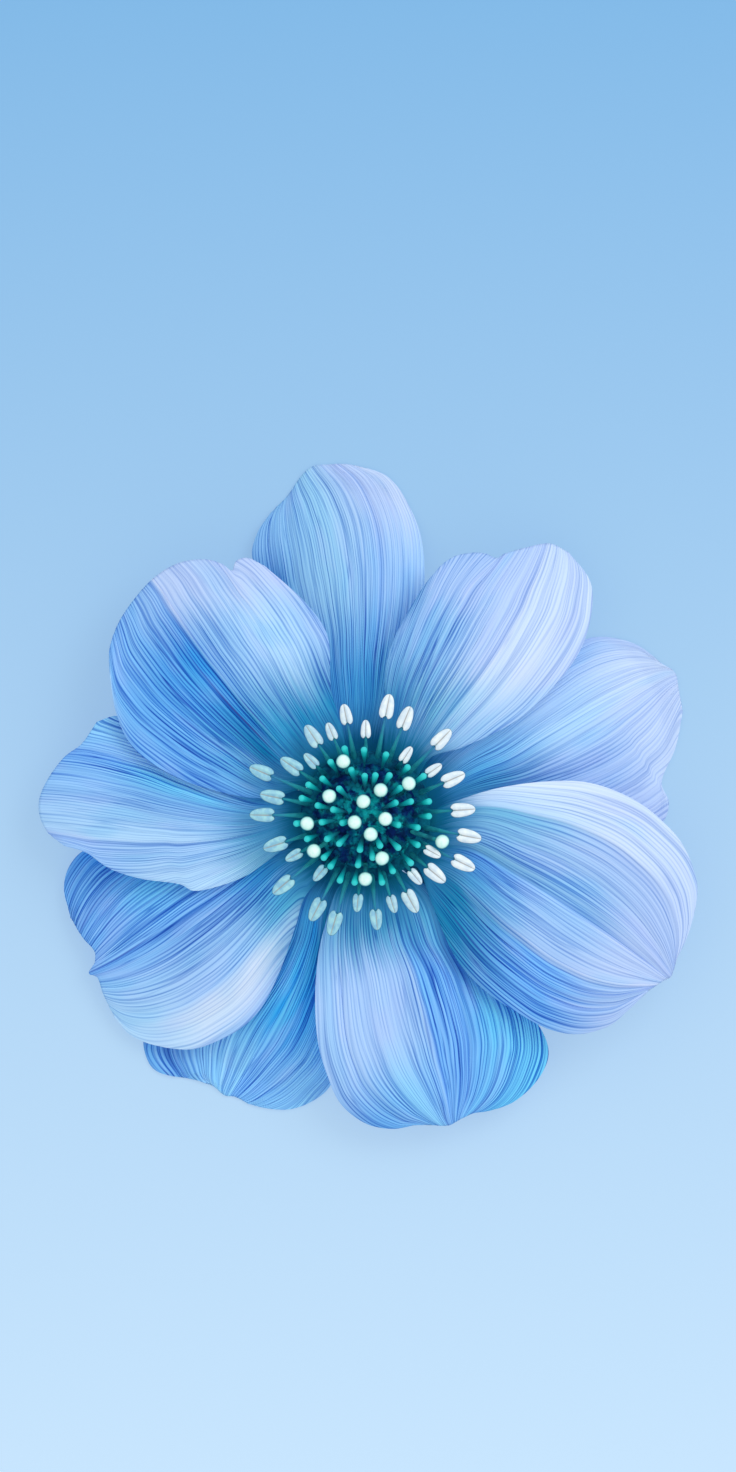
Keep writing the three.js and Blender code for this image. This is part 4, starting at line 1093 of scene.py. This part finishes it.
def veined(tree, colour, vein_map, middle, fine, seed):
    """Lines along the blade. They are strongest on deep tints and gather in clusters."""
    broad = streaks(tree, vein_map, 15.0, 1.2, seed)
    depth = put(tree, "ShaderNodeSeparateColor", {"Color": colour}).outputs["Red"]
    strength = spread(tree, depth, 0.06, 0.42, 1.2, 0.32, "LINEAR")
    cluster = spread(tree, broad, 0.1, 0.9, 1.25, 0.7, "LINEAR")
    strength = maths(tree, "MULTIPLY", strength, cluster)
    colour = blend(tree, 1.0, colour, ramp(tree, broad, STREAK_BROAD), "MULTIPLY")
    colour = lined(tree, colour, middle, 0.09, 0.05, strength)
    hatch = hatching(tree, vein_map, 62.0, seed + 12)
    colour = lined(tree, colour, hatch, 1.0, 0.28, strength)

    # Near the claw the finest lines are faint.
    along = put(tree, "ShaderNodeSeparateXYZ", {0: vein_map}).outputs["Y"]
    fine_strength = maths(tree, "MULTIPLY", strength, spread(tree, along, 0.1, 0.45, 0.2, 1))
    colour = lined(tree, colour, fine, 1.0, 0.3, fine_strength)
    coarse = streaks(tree, vein_map, 34.0, 0.8, seed + 9)
    dark_thread = thread(tree, coarse, 0.045, maths(tree, "MULTIPLY", strength, 0.8))
    colour = blend(tree, dark_thread, colour, DARK_VEIN_AND_SHADE, "MULTIPLY")
    # Painted shade in the hollows between the fine ribs and a painted highlight on their crests.
    ribs = spread(tree, marked(tree, "rib"), -1, 1, curve="LINEAR")
    return lined(tree, colour, ribs, 0.25, 0.15, fine_strength)


def creased(tree, colour):
    """Dark grooves and pale ridges: partly vein colour, partly painted shade and painted highlight."""
    crease = marked(tree, "crease")
    groove = spread(tree, crease, -0.03, -0.9, 0, 0.85, "LINEAR")
    colour = blend(tree, groove, colour, DARK_VEIN_AND_SHADE, "MULTIPLY")
    ridge = spread(tree, crease, 0.05, 0.9, 0, 0.8, "LINEAR")
    colour = blend(tree, ridge, colour, PALE_VEIN_AND_HIGHLIGHT, "MULTIPLY")
    return blend(tree, maths(tree, "MULTIPLY", ridge, 0.1), colour, PALE_RIDGE_AND_HIGHLIGHT)


def petal_material(petal):
    seed = petal["claw_angle"] / 10
    material, tree, shader, coordinates = new_material("petal_" + petal["name"], 0.65, 0.06)
    vein_map = coordinates.outputs["UV"]
    middle = streaks(tree, vein_map, 50.0, 1.2, seed + 3)
    fine = streaks(tree, vein_map, 105.0, 1.6, seed + 6)
    colour = petal_bands(tree, petal, vein_map, middle)
    colour = smudged(tree, colour, vein_map, seed)
    colour = veined(tree, colour, vein_map, middle, fine, seed)
    colour = creased(tree, colour)
    # Painted shade, partly the petals' own dark teal, deepens the throat.
    throat = use_group(tree, THROAT, {"Place": coordinates.outputs["Object"], "Streak": middle})
    colour = blend(tree, throat.outputs["Mask"], colour, throat.outputs["Shade"])
    tree.links.new(colour, shader.inputs["Base Color"])
    tree.links.new(spread(tree, middle, 0, 1, 0.85, 0.72, "LINEAR"), shader.inputs["Roughness"])
    bumped(tree, shader, maths(tree, "ADD", fine, middle), 0.02)
    return material


def make_petals():
    for petal in PETALS:
        piece = dress(petal_piece(petal), petal["name"] + "_petal", petal_material(petal))


# ---------------------------------------------------------------------------------------------
# Domed centre
# ---------------------------------------------------------------------------------------------


def dome_height(out):
    share = min(1, out / DOME_RADIUS)
    return DOME_BASE + DOME_RIM_HEIGHT + (DOME_HEIGHT - DOME_RIM_HEIGHT) * math.sqrt(1 - share * share)


def dome_piece():
    profile = [(0, DOME_BASE), (DOME_RADIUS, DOME_BASE)]
    for step in range(DOME_STEPS):
        out = DOME_RADIUS * math.cos(math.pi / 2 * step / DOME_STEPS)
        profile.append((out, dome_height(out)))
    profile.append((0, dome_height(0)))
    piece = turned("dome", profile, DOME_SIDES)
    points = points_of(piece.data) / MM
    lumps = np.sin(points[:, 0] * 3.1) * np.sin(points[:, 1] * 2.7) + np.sin(points[:, 0] * 1.3 + 2)
    points[:, 2] += LUMP_HEIGHT * lumps * smooth(DOME_BASE + 0.2, DOME_BASE + 1, points[:, 2])
    place_points(piece.data, points * MM)
    round_off(piece, 50)
    return piece


def nodule_points(points, number):
    """A flattened nodule in its place in the spiral."""
    out = DOME_RADIUS * 0.99 * math.sqrt((number + 0.5) / NODULE_COUNT)
    out += NODULE_SCATTER * scatter(number, 1)
    angle = math.radians(GOLDEN_ANGLE * number) + 0.1 * scatter(number, 2)
    size = 1 + 0.5 * scatter(number, 3)
    place = around(angle, out, dome_height(out) - NODULE_SINK)
    return points * (size, size, size * NODULE_FLATNESS) + place


def nodules_piece():
    """A bed of small dark nodules between the pins, laid out in a seeded spiral."""
    start_clean()
    bpy.ops.mesh.primitive_ico_sphere_add(subdivisions=2, radius=NODULE_RADIUS * MM)
    return repeated(added("nodule_model"), "nodules", NODULE_COUNT, nodule_points)


def pin_radius(along, length):
    """Radii of a pin at distances from its root, in millimetres: a drop with its tail inwards."""
    share = np.clip((along - length) / PIN_TAIL + 1, 0, 1)
    over = np.clip((along - length) / PIN_HEAD_RADIUS, 0, 1)
    return (PIN_TAIL_RADIUS + (PIN_HEAD_RADIUS - PIN_TAIL_RADIUS) * share) * np.sqrt(1 - over**2)


def pin_points(points, number):
    """A unit sphere bent into a pin between its root in the dome and the middle of its head."""
    x, y = PINS[number]
    angle, out = math.atan2(y, x), math.hypot(x, y)
    root_out = min(out - PIN_REACH, PIN_ROOT_LIMIT)
    root = around(angle, root_out, dome_height(root_out))
    along = around(angle, out, PIN_TOP - PIN_FALL * out) - root
    length = along.length / MM
    along.normalize()
    side = along.cross(Vector((0, 0, 1))).normalized()
    up = side.cross(along)
    whole = length + PIN_HEAD_RADIUS + PIN_ROOT_DEPTH
    reach = whole * np.sin(pole_share(points) * math.pi / 2) - PIN_ROOT_DEPTH
    flat = np.hypot(points[:, 0], points[:, 1])
    radius = pin_radius(reach, length) * (flat > 1e-6)
    turn = np.arctan2(points[:, 1], points[:, 0])
    aside = np.outer(radius * np.cos(turn), side) + np.outer(radius * np.sin(turn), up)
    return np.array(root) + (np.outer(reach, along) + aside) * MM


def pins_piece():
    start_clean()
    bpy.ops.mesh.primitive_uv_sphere_add(segments=PIN_SIDES, ring_count=PIN_RINGS, radius=1)
    model = added("pin_model")
    mark_points(model.data, "along", pole_share(points_of(model.data)))
    piece = repeated(model, "pins", len(PINS), pin_points)
    mark_downward(piece.data)
    return piece


def tubes(name, paths):
    """Round stalks along paths of (point, radius in millimetres), as one mesh with closed ends."""
    start_clean()
    bpy.ops.curve.primitive_nurbs_path_add(radius=MM)
    curve = added(name)
    curve.data.splines.clear()
    curve.data.dimensions = "3D"
    curve.data.bevel_depth = MM
    curve.data.bevel_resolution = TUBE_ROUNDNESS
    curve.data.use_fill_caps = True
    curve.data.resolution_u = TUBE_STEPS
    for path in paths:
        spline = curve.data.splines.new("NURBS")
        spline.points.add(len(path) - 1)
        for knot, (point, radius) in zip(spline.points, path):
            knot.co = (*point, 1)
            knot.radius = radius
        spline.order_u = 3
        spline.use_endpoint_u = True
    take(curve)
    bpy.ops.object.convert(target="MESH")
    piece = bpy.context.object
    piece.name = name
    face_outwards(piece, merge=True)
    round_off(piece, 60)
    return piece


def stigma_place(number):
    """Angle, distance from the axis and height of the middle of a ball."""
    x, y = STIGMAS[number]
    out = math.hypot(x, y)
    return math.atan2(y, x), out, STIGMA_HEIGHT - STIGMA_FALL * out


def styles_piece():
    paths = []
    for number in range(len(STIGMAS)):
        angle, out, ball_z = stigma_place(number)
        root_out = min(out * 0.8, DOME_RADIUS - 1)
        root_z = dome_height(root_out)
        paths.append([
            (around(angle, root_out, root_z - STYLE_ROOT_DEPTH), STYLE_RADIUS * STYLE_FLARE),
            (around(angle, (root_out + out) / 2, (root_z + ball_z) / 2), STYLE_RADIUS),
            (around(angle, out, ball_z - 0.3), STYLE_RADIUS),
        ])
    return tubes("styles", paths)


def stigma_points(points, number):
    """A ball, very slightly dimpled, each turned another way."""
    turn = points / (STIGMA_RADIUS * MM) * 2.6 + number
    dimple = np.sin(turn[:, 0]) * np.sin(turn[:, 1] + 1) * np.sin(turn[:, 2] + 2)
    return points * (1 + STIGMA_DIMPLE * dimple)[:, None] + around(*stigma_place(number))


def stigmas_piece():
    start_clean()
    bpy.ops.mesh.primitive_uv_sphere_add(segments=40, ring_count=24, radius=STIGMA_RADIUS * MM)
    return repeated(added("stigma_model"), "stigmas", len(STIGMAS), stigma_points)


def dome_material():
    material, tree, shader, coordinates = new_material("dome_tissue", 0.6, 0.05)
    place = coordinates.outputs["Object"]
    cloud = patches(tree, place, 2.6, 4.0)
    colour = ramp(tree, cloud, [
        (0.15, tint(0, 34, 92)),
        (0.5, tint(0, 58, 106)),
        (0.8, tint(0, 100, 126)),
        (1, tint(10, 144, 150)),
    ])
    speck = patches(tree, place, 1.0, 9.0)
    colour = blend(tree, spread(tree, speck, 0.4, 0.9, 0, 0.75), colour, tint(0, 20, 62))
    # Painted highlight: lighter teal specks towards the middle of the dome, its top.
    glow = spread(tree, axis_distance(tree, place), 1.0, 6.5, 0.9, 0.15)
    light_speck = maths(tree, "MULTIPLY", spread(tree, patches(tree, place, 1.3, 31.0), 0.5, 1), glow)
    colour = blend(tree, light_speck, colour, tint(10, 164, 172))
    tree.links.new(colour, shader.inputs["Base Color"])
    bumped(tree, shader, speck, 0.08)
    return material


def pin_material():
    material, tree, shader, coordinates = new_material("pin_tissue", 0.45, 0.15)
    along = marked(tree, "along")
    cloud = patches(tree, coordinates.outputs["Object"], 2.2, 2.0)
    share = maths(tree, "ADD", along, spread(tree, cloud, 0, 1, -0.1, 0.06, "LINEAR"))
    # Dark at the root to bright at the head: partly the pin's own colour and partly painted shade on the
    # tail, which sinks towards the dome.
    colour = ramp(tree, share, [
        (0.1, tint(0, 96, 122)),
        (0.3, tint(4, 156, 166)),
        (0.5, tint(16, 214, 208)),
        (0.72, tint(80, 250, 236)),
        (1, tint(120, 255, 244)),
    ])
    # Painted shade: all but their undersides are darkened, so they are brighter beneath, where light comes
    # back from the tissue below.
    shaded = spread(tree, marked(tree, "downward"), 0.6, 0.0, 0, 0.8)
    colour = blend(tree, shaded, colour, PIN_SHADE, "MULTIPLY")
    tree.links.new(colour, shader.inputs["Base Color"])
    # Painted light: the heads glow a little, standing in for light that has passed through the soft tissue.
    tree.links.new(colour, shader.inputs["Emission Color"])
    tree.links.new(spread(tree, along, 0.3, 0.8, 0, 0.28), shader.inputs["Emission Strength"])
    tree.links.new(spread(tree, along, 0.5, 1, 0.5, 0.4), shader.inputs["Roughness"])
    return material


def style_material():
    material, tree, shader, coordinates = new_material("style_tissue", 0.5, 0.1)
    cloud = patches(tree, coordinates.outputs["Object"], 1.5, 7.0)
    colour = ramp(tree, cloud, [(0, tint(14, 92, 112)), (1, tint(36, 150, 156))])
    tree.links.new(colour, shader.inputs["Base Color"])
    return material


def stigma_material():
    material, tree, shader, coordinates = new_material("stigma_skin", 0.5, 0.25)
    cloud = patches(tree, coordinates.outputs["Object"], 0.7, 5.0)
    colour = ramp(tree, cloud, [(0, tint(208, 248, 242)), (1, tint(228, 254, 250))])
    # Painted shade: towards their outline as the camera sees it, the balls turn pale teal and then dark
    # teal.
    turned = put(tree, "ShaderNodeLayerWeight", {"Blend": 0.5}).outputs["Facing"]
    colour = blend(tree, spread(tree, turned, 0.15, 0.6, 0, 0.5), colour, tint(120, 232, 218))
    colour = blend(tree, spread(tree, turned, 0.4, 0.85, 0, 0.95), colour, tint(0, 112, 134))
    tree.links.new(colour, shader.inputs["Base Color"])
    grain = patches(tree, coordinates.outputs["Object"], 0.16, 6.0)
    bumped(tree, shader, grain, 0.012)
    return material


def make_centre():
    tissue = dome_material()
    for piece in (dome_piece(), nodules_piece()):
        dress(piece, "domed_centre", tissue)
    dress(pins_piece(), "domed_centre", pin_material())
    dress(styles_piece(), "domed_centre", style_material())
    dress(stigmas_piece(), "domed_centre", stigma_material())


# ---------------------------------------------------------------------------------------------
# Stamens
# ---------------------------------------------------------------------------------------------


def stamens():
    """Angle, reach and size of every stamen."""
    found = []
    for start, stop, run in STAMEN_RUNS:
        angles = np.radians(np.linspace(start, stop, len(run)))
        found += [(angle, reach, size) for angle, (reach, size) in zip(angles, run)]
    return found


def stamen_disc_piece():
    radius, base, top = STAMEN_DISC_RADIUS, STAMEN_DISC_BASE, STAMEN_DISC_TOP
    profile = [
        (0, base), (radius - 0.2, base), (radius, base + 0.2), (radius, top - 0.45),
        (radius - 0.15, top - 0.15), (radius - 0.5, top), (radius - 1.5, top), (0, top),
    ]
    piece = turned("stamen_disc", profile, ROUND_SIDES)
    round_off(piece, 40)
    return piece


def filaments_piece():
    root, disc = FILAMENT_ROOT_RADIUS, STAMEN_DISC_TOP
    paths = []
    for angle, reach, size in stamens():
        end = reach - size["length"] * 0.25
        length = end - STAMEN_FOOT
        paths.append([
            (around(angle, STAMEN_FOOT, disc - 0.6), root * FILAMENT_FLARE),
            (around(angle, STAMEN_FOOT + length * 0.25, disc + 0.8), root),
            (around(angle, STAMEN_FOOT + length * 0.6, ANTHER_LEVEL - 1.2), root * FILAMENT_WAIST),
            (around(angle, end, ANTHER_LEVEL), FILAMENT_TIP_RADIUS),
        ])
    return tubes("filaments", paths)


# Places along an anther from its notched base to its tip, and its half width there.
ANTHER_PLACES = (0, 0.03, 0.08, 0.18, 0.32, 0.5, 0.68, 0.82, 0.92, 0.975, 1)
ANTHER_OUTLINE = (0, 0.5, 0.76, 0.95, 1, 0.96, 0.86, 0.7, 0.5, 0.28, 0)


def anther_model():
    """One anther of unit length, width and height: two lobes with a groove between them."""
    start_clean()
    bpy.ops.mesh.primitive_uv_sphere_add(segments=44, ring_count=26, radius=1)
    piece = added("anther_model")
    points = points_of(piece.data)
    turn = np.arctan2(points[:, 1], points[:, 0])
    across, up = np.cos(turn), np.sin(turn)
    share = (1 + points[:, 2]) / 2
    wide = line_at(share, ANTHER_PLACES, ANTHER_OUTLINE)[0]
    in_groove = 1 - smooth(0.05, 0.42, np.abs(across))
    in_notch = (1 - smooth(0.02, 0.42, np.abs(across) * wide)) * (1 - smooth(0.04, 0.3, share))
    high = np.clip(wide, 0, 1) ** 0.7 * (1 - 0.5 * in_groove)
    along = share + ANTHER_NOTCH * in_notch - 0.5
    place_points(piece.data, np.column_stack([along, across * wide / 2, up * high / 2]))
    mark_points(piece.data, "across", across * (wide > 0.01))
    mark_points(piece.data, "edge", 1 - np.abs(up) * np.clip(wide, 0, 1))
    mark_points(piece.data, "along", share)
    return piece


def anthers_piece():
    places = stamens()

    def anther_points(points, number):
        angle, reach, size = places[number]
        roll, tip = ANTHER_ROLL * scatter(number, 7), ANTHER_TIP * scatter(number, 8)
        along, across, up = (points * (size["length"], size["width"], size["height"])).T
        aside = across * math.cos(roll) - up * math.sin(roll)
        z = ANTHER_LEVEL + across * math.sin(roll) + up * math.cos(roll) + tip * along
        return laid_out(angle, reach + along, aside, z)

    return repeated(anther_model(), "anthers", len(places), anther_points)


def disc_material():
    material, tree, shader, coordinates = new_material("disc_tissue", 0.6, 0.05)
    place = coordinates.outputs["Object"]
    cloud = patches(tree, place, 1.8, 3.0)
    colour = ramp(tree, cloud, [(0, tint(0, 58, 96)), (1, tint(4, 106, 132))])
    tree.links.new(colour, shader.inputs["Base Color"])
    bumped(tree, shader, patches(tree, place, 0.4, 8.0), 0.06)
    return material


def filament_material():
    material, tree, shader, coordinates = new_material("filament_tissue", 0.5, 0.12)
    distance = axis_distance(tree, coordinates.outputs["Object"])
    cloud = patches(tree, coordinates.outputs["Object"], 1.2, 1.0)
    uneven = maths(tree, "ADD", distance, spread(tree, cloud, 0, 1, -0.8, 0.8, "LINEAR"))
    share = spread(tree, uneven, 8.5, 14.5, curve="LINEAR")
    colour = ramp(tree, share, [
        (0, tint(4, 112, 134)), (0.45, tint(40, 156, 168)), (1, tint(54, 134, 176)),
    ])
    tree.links.new(colour, shader.inputs["Base Color"])
    return material


def anther_material():
    """Near white to the upper right and pale aqua to the lower left, with a grey groove."""
    material, tree, shader, coordinates = new_material("anther_skin", 0.5, 0.3)
    place = coordinates.outputs["Object"]
    parts = put(tree, "ShaderNodeSeparateXYZ", {0: place})
    lean = maths(tree, "MULTIPLY_ADD", parts.outputs["Y"], 0.5, parts.outputs["X"])
    side = spread(tree, lean, -9 * MM, 6 * MM)
    grain = patches(tree, place, 0.9, 12.0)
    aqua = ramp(tree, grain, [(0, tint(132, 190, 218)), (1, tint(160, 216, 226))])
    white = ramp(tree, grain, [(0, tint(212, 230, 243)), (1, tint(232, 244, 249))])
    colour = blend(tree, side, aqua, white)
    # Darker along their sides and, as the camera sees them, darker still at their outline: partly a dark
    # outline of their own and partly painted shade.
    edge = spread(tree, marked(tree, "edge"), 0.66, 0.98, 0, 0.85)
    colour = blend(tree, edge, colour, tint(30, 128, 136))
    turned = put(tree, "ShaderNodeLayerWeight", {"Blend": 0.5}).outputs["Facing"]
    colour = blend(tree, spread(tree, turned, 0.35, 0.8, 0, 0.9), colour, tint(0, 96, 118))
    along = marked(tree, "along")
    half_line = spread(tree, along, 0.05, 0.3, 0.2, 0.14)
    line = spread(tree, maths(tree, "ABSOLUTE", marked(tree, "across")), 0.02, half_line, 0.8, 0)
    seam = ramp(tree, along, [
        (0.1, tint(96, 136, 148)), (0.3, tint(150, 146, 148)), (1, tint(160, 158, 156)),
    ])
    colour = blend(tree, line, colour, seam)
    tree.links.new(colour, shader.inputs["Base Color"])
    bumped(tree, shader, patches(tree, place, 0.2, 14.0), 0.012)
    return material


def make_stamens():
    dress(stamen_disc_piece(), "stamens", disc_material())
    dress(filaments_piece(), "stamens", filament_material())
    dress(anthers_piece(), "stamens", anther_material())


# ---------------------------------------------------------------------------------------------
# Calyx
# ---------------------------------------------------------------------------------------------

# Out from the axis, height and half-width of a sepal, as in the CAD.
SEPAL_SECTIONS = [
    (6.4, 7.6, 2.2), (9.5, 6.9, 3.3), (13.5, 6.9, 3.9), (17.5, 7.1, 3.2), (21, 6.8, 2), (24, 6, 0.3),
]


def receptacle_piece():
    stalk, foot, wide, top = STALK_RADIUS, STALK_FOOT, RECEPTACLE_RADIUS, RECEPTACLE_TOP
    profile = [
        (0, foot + 0.15), (stalk * 0.6, foot), (stalk - 0.15, foot), (stalk, foot + 0.15),
        (stalk, 2.6), (stalk + 0.1, 3.4), (3, 4.3), (3.9, 5.2), (5.1, 5.8), (6.6, 6.5), (7.8, 7.4),
        (8.3, 8.2), (wide, 9.2), (wide, top - 0.3), (wide - 0.3, top), (0, top),
    ]
    piece = turned("receptacle", profile, ROUND_SIDES)
    x, y, z = (points_of(piece.data) / MM - (AXIS_X, AXIS_Y, 0)).T
    radius, turn = np.hypot(x, y), np.arctan2(y, x)
    ribs = np.cos(turn * RECEPTACLE_RIBS) * smooth(13, 11, z) * smooth(0.5, 2, radius)
    scale = 1 + RECEPTACLE_RIB_HEIGHT * ribs / np.maximum(radius, 0.5)
    place_points(piece.data, laid_out(0, x * scale, y * scale, z))
    mark_points(piece.data, "vein", 0.5 + 0.5 * ribs)
    round_off(piece, 50)
    return piece


def sepal_piece(index):
    start_clean()
    bpy.ops.mesh.primitive_grid_add(x_subdivisions=36, y_subdivisions=64, size=2)
    piece = added(f"sepal_{index}")
    grid = points_of(piece.data)
    across, along = grid[:, 0], (grid[:, 1] + 1) / 2
    at = np.linspace(0, 1, len(SEPAL_SECTIONS))
    outs, heights, half_widths = np.array(SEPAL_SECTIONS).T
    z = profile_at(along, list(zip(at, heights)))
    aside = across * profile_at(along, list(zip(at, half_widths)))
    keel = np.exp(-((across / 0.09) ** 2)) * (1 - along)
    side_veins = np.cos(across * 20) * (1 - 0.6 * along)
    z -= SEPAL_CROWN * across**2 + SEPAL_KEEL * keel + SEPAL_VEIN_HEIGHT * side_veins
    aside += SEPAL_BEND * scatter(index, 5) * along
    angle = math.radians(SEPAL_FIRST_ANGLE + 360 / SEPAL_COUNT * index)
    place_points(piece.data, laid_out(angle, np.interp(along, at, outs), aside, z))
    mark_points(piece.data, "vein", np.maximum(keel, 0.5 + 0.5 * side_veins))
    thicken(piece, SEPAL_THICKNESS)
    finish_modifiers(piece)
    round_off(piece, 60)
    return piece


def calyx_material():
    material, tree, shader, coordinates = new_material("calyx_skin", 0.65, 0.15)
    place = coordinates.outputs["Object"]
    cloud = patches(tree, place, 4.0, 2.0)
    colour = ramp(tree, cloud, [(0, tint(46, 124, 136)), (1, tint(64, 144, 150))])
    outward = spread(tree, axis_distance(tree, place), 9, 24, 0, 0.7)
    colour = blend(tree, outward, colour, tint(80, 162, 192))
    # Paler on the veins and ribs and darker between them: partly vein colour and partly painted light and
    # shade of their weak relief.
    vein = marked(tree, "vein")
    colour = blend(tree, spread(tree, vein, 0.5, 1, 0, 0.55), colour, tint(122, 190, 192))
    colour = blend(tree, spread(tree, vein, 0.5, 0, 0, 0.5), colour, tint(28, 96, 122))
    speck = patches(tree, place, 0.45, 3.0)
    colour = blend(tree, spread(tree, speck, 0.6, 1, 0, 0.2), colour, tint(34, 96, 118))
    tree.links.new(colour, shader.inputs["Base Color"])
    bumped(tree, shader, speck, 0.05)
    return material


def make_calyx():
    skin = calyx_material()
    dress(receptacle_piece(), "calyx", skin)
    for index in range(SEPAL_COUNT):
        dress(sepal_piece(index), "calyx", skin)


# ---------------------------------------------------------------------------------------------
# Floor, light and camera
# ---------------------------------------------------------------------------------------------


def make_floor():
    start_clean()
    bpy.ops.mesh.primitive_plane_add(size=FLOOR_SIZE)
    floor = added("floor")
    material, tree, shader, coordinates = new_material("pale_floor", 0.9, 0.1)
    parts = put(tree, "ShaderNodeSeparateXYZ", {0: coordinates.outputs["Object"]})
    # Darker towards the top of the picture: a painted falloff of the light.
    share = spread(tree, parts.outputs["Y"], 0.12, -0.1, curve="LINEAR")
    colour = ramp(tree, share, [(0, tint(111, 159, 199)), (1, tint(172, 198, 220))])
    tree.links.new(blend(tree, 1.0, colour, FLOOR_SHADE, "MULTIPLY"), shader.inputs["Base Color"])
    tree.links.new(colour, shader.inputs["Emission Color"])
    shader.inputs["Emission Strength"].default_value = FLOOR_GLOW
    floor.data.materials.append(material)


def make_light():
    world = bpy.data.worlds.new("soft_room")
    world.use_nodes = True
    world.node_tree.nodes["Background"].inputs["Color"].default_value = (1, 1, 1, 1)
    world.node_tree.nodes["Background"].inputs["Strength"].default_value = ROOM_LIGHT
    bpy.context.scene.world = world
    start_clean()
    bpy.ops.object.light_add(type="AREA", location=LAMP_PLACE)
    lamp = bpy.context.object
    lamp.name = "key"
    lamp.data.size = LAMP_SIZE
    lamp.data.energy = LAMP_WATTS
    lamp.rotation_mode = "QUATERNION"
    lamp.rotation_quaternion = (Vector((0, 0, 0.01)) - lamp.location).to_track_quat("-Z", "Y")


def make_camera():
    start_clean()
    bpy.ops.object.camera_add(location=(VIEW_X * MM, VIEW_Y * MM, (VIEW_LEVEL + VIEW_DISTANCE) * MM))
    camera = bpy.context.object
    camera.name = "camera"
    camera.rotation_euler = (0, 0, 0)
    camera.data.sensor_width = SENSOR
    camera.data.lens = SENSOR * VIEW_DISTANCE / PICTURE_HEIGHT
    camera.data.clip_start = 0.01
    camera.data.clip_end = 10
    bpy.context.scene.camera = camera


make_camera()
make_petals()
make_centre()
make_stamens()
make_calyx()
make_floor()
make_light()
bpy.context.scene.view_settings.view_transform = "Standard"
start_clean()
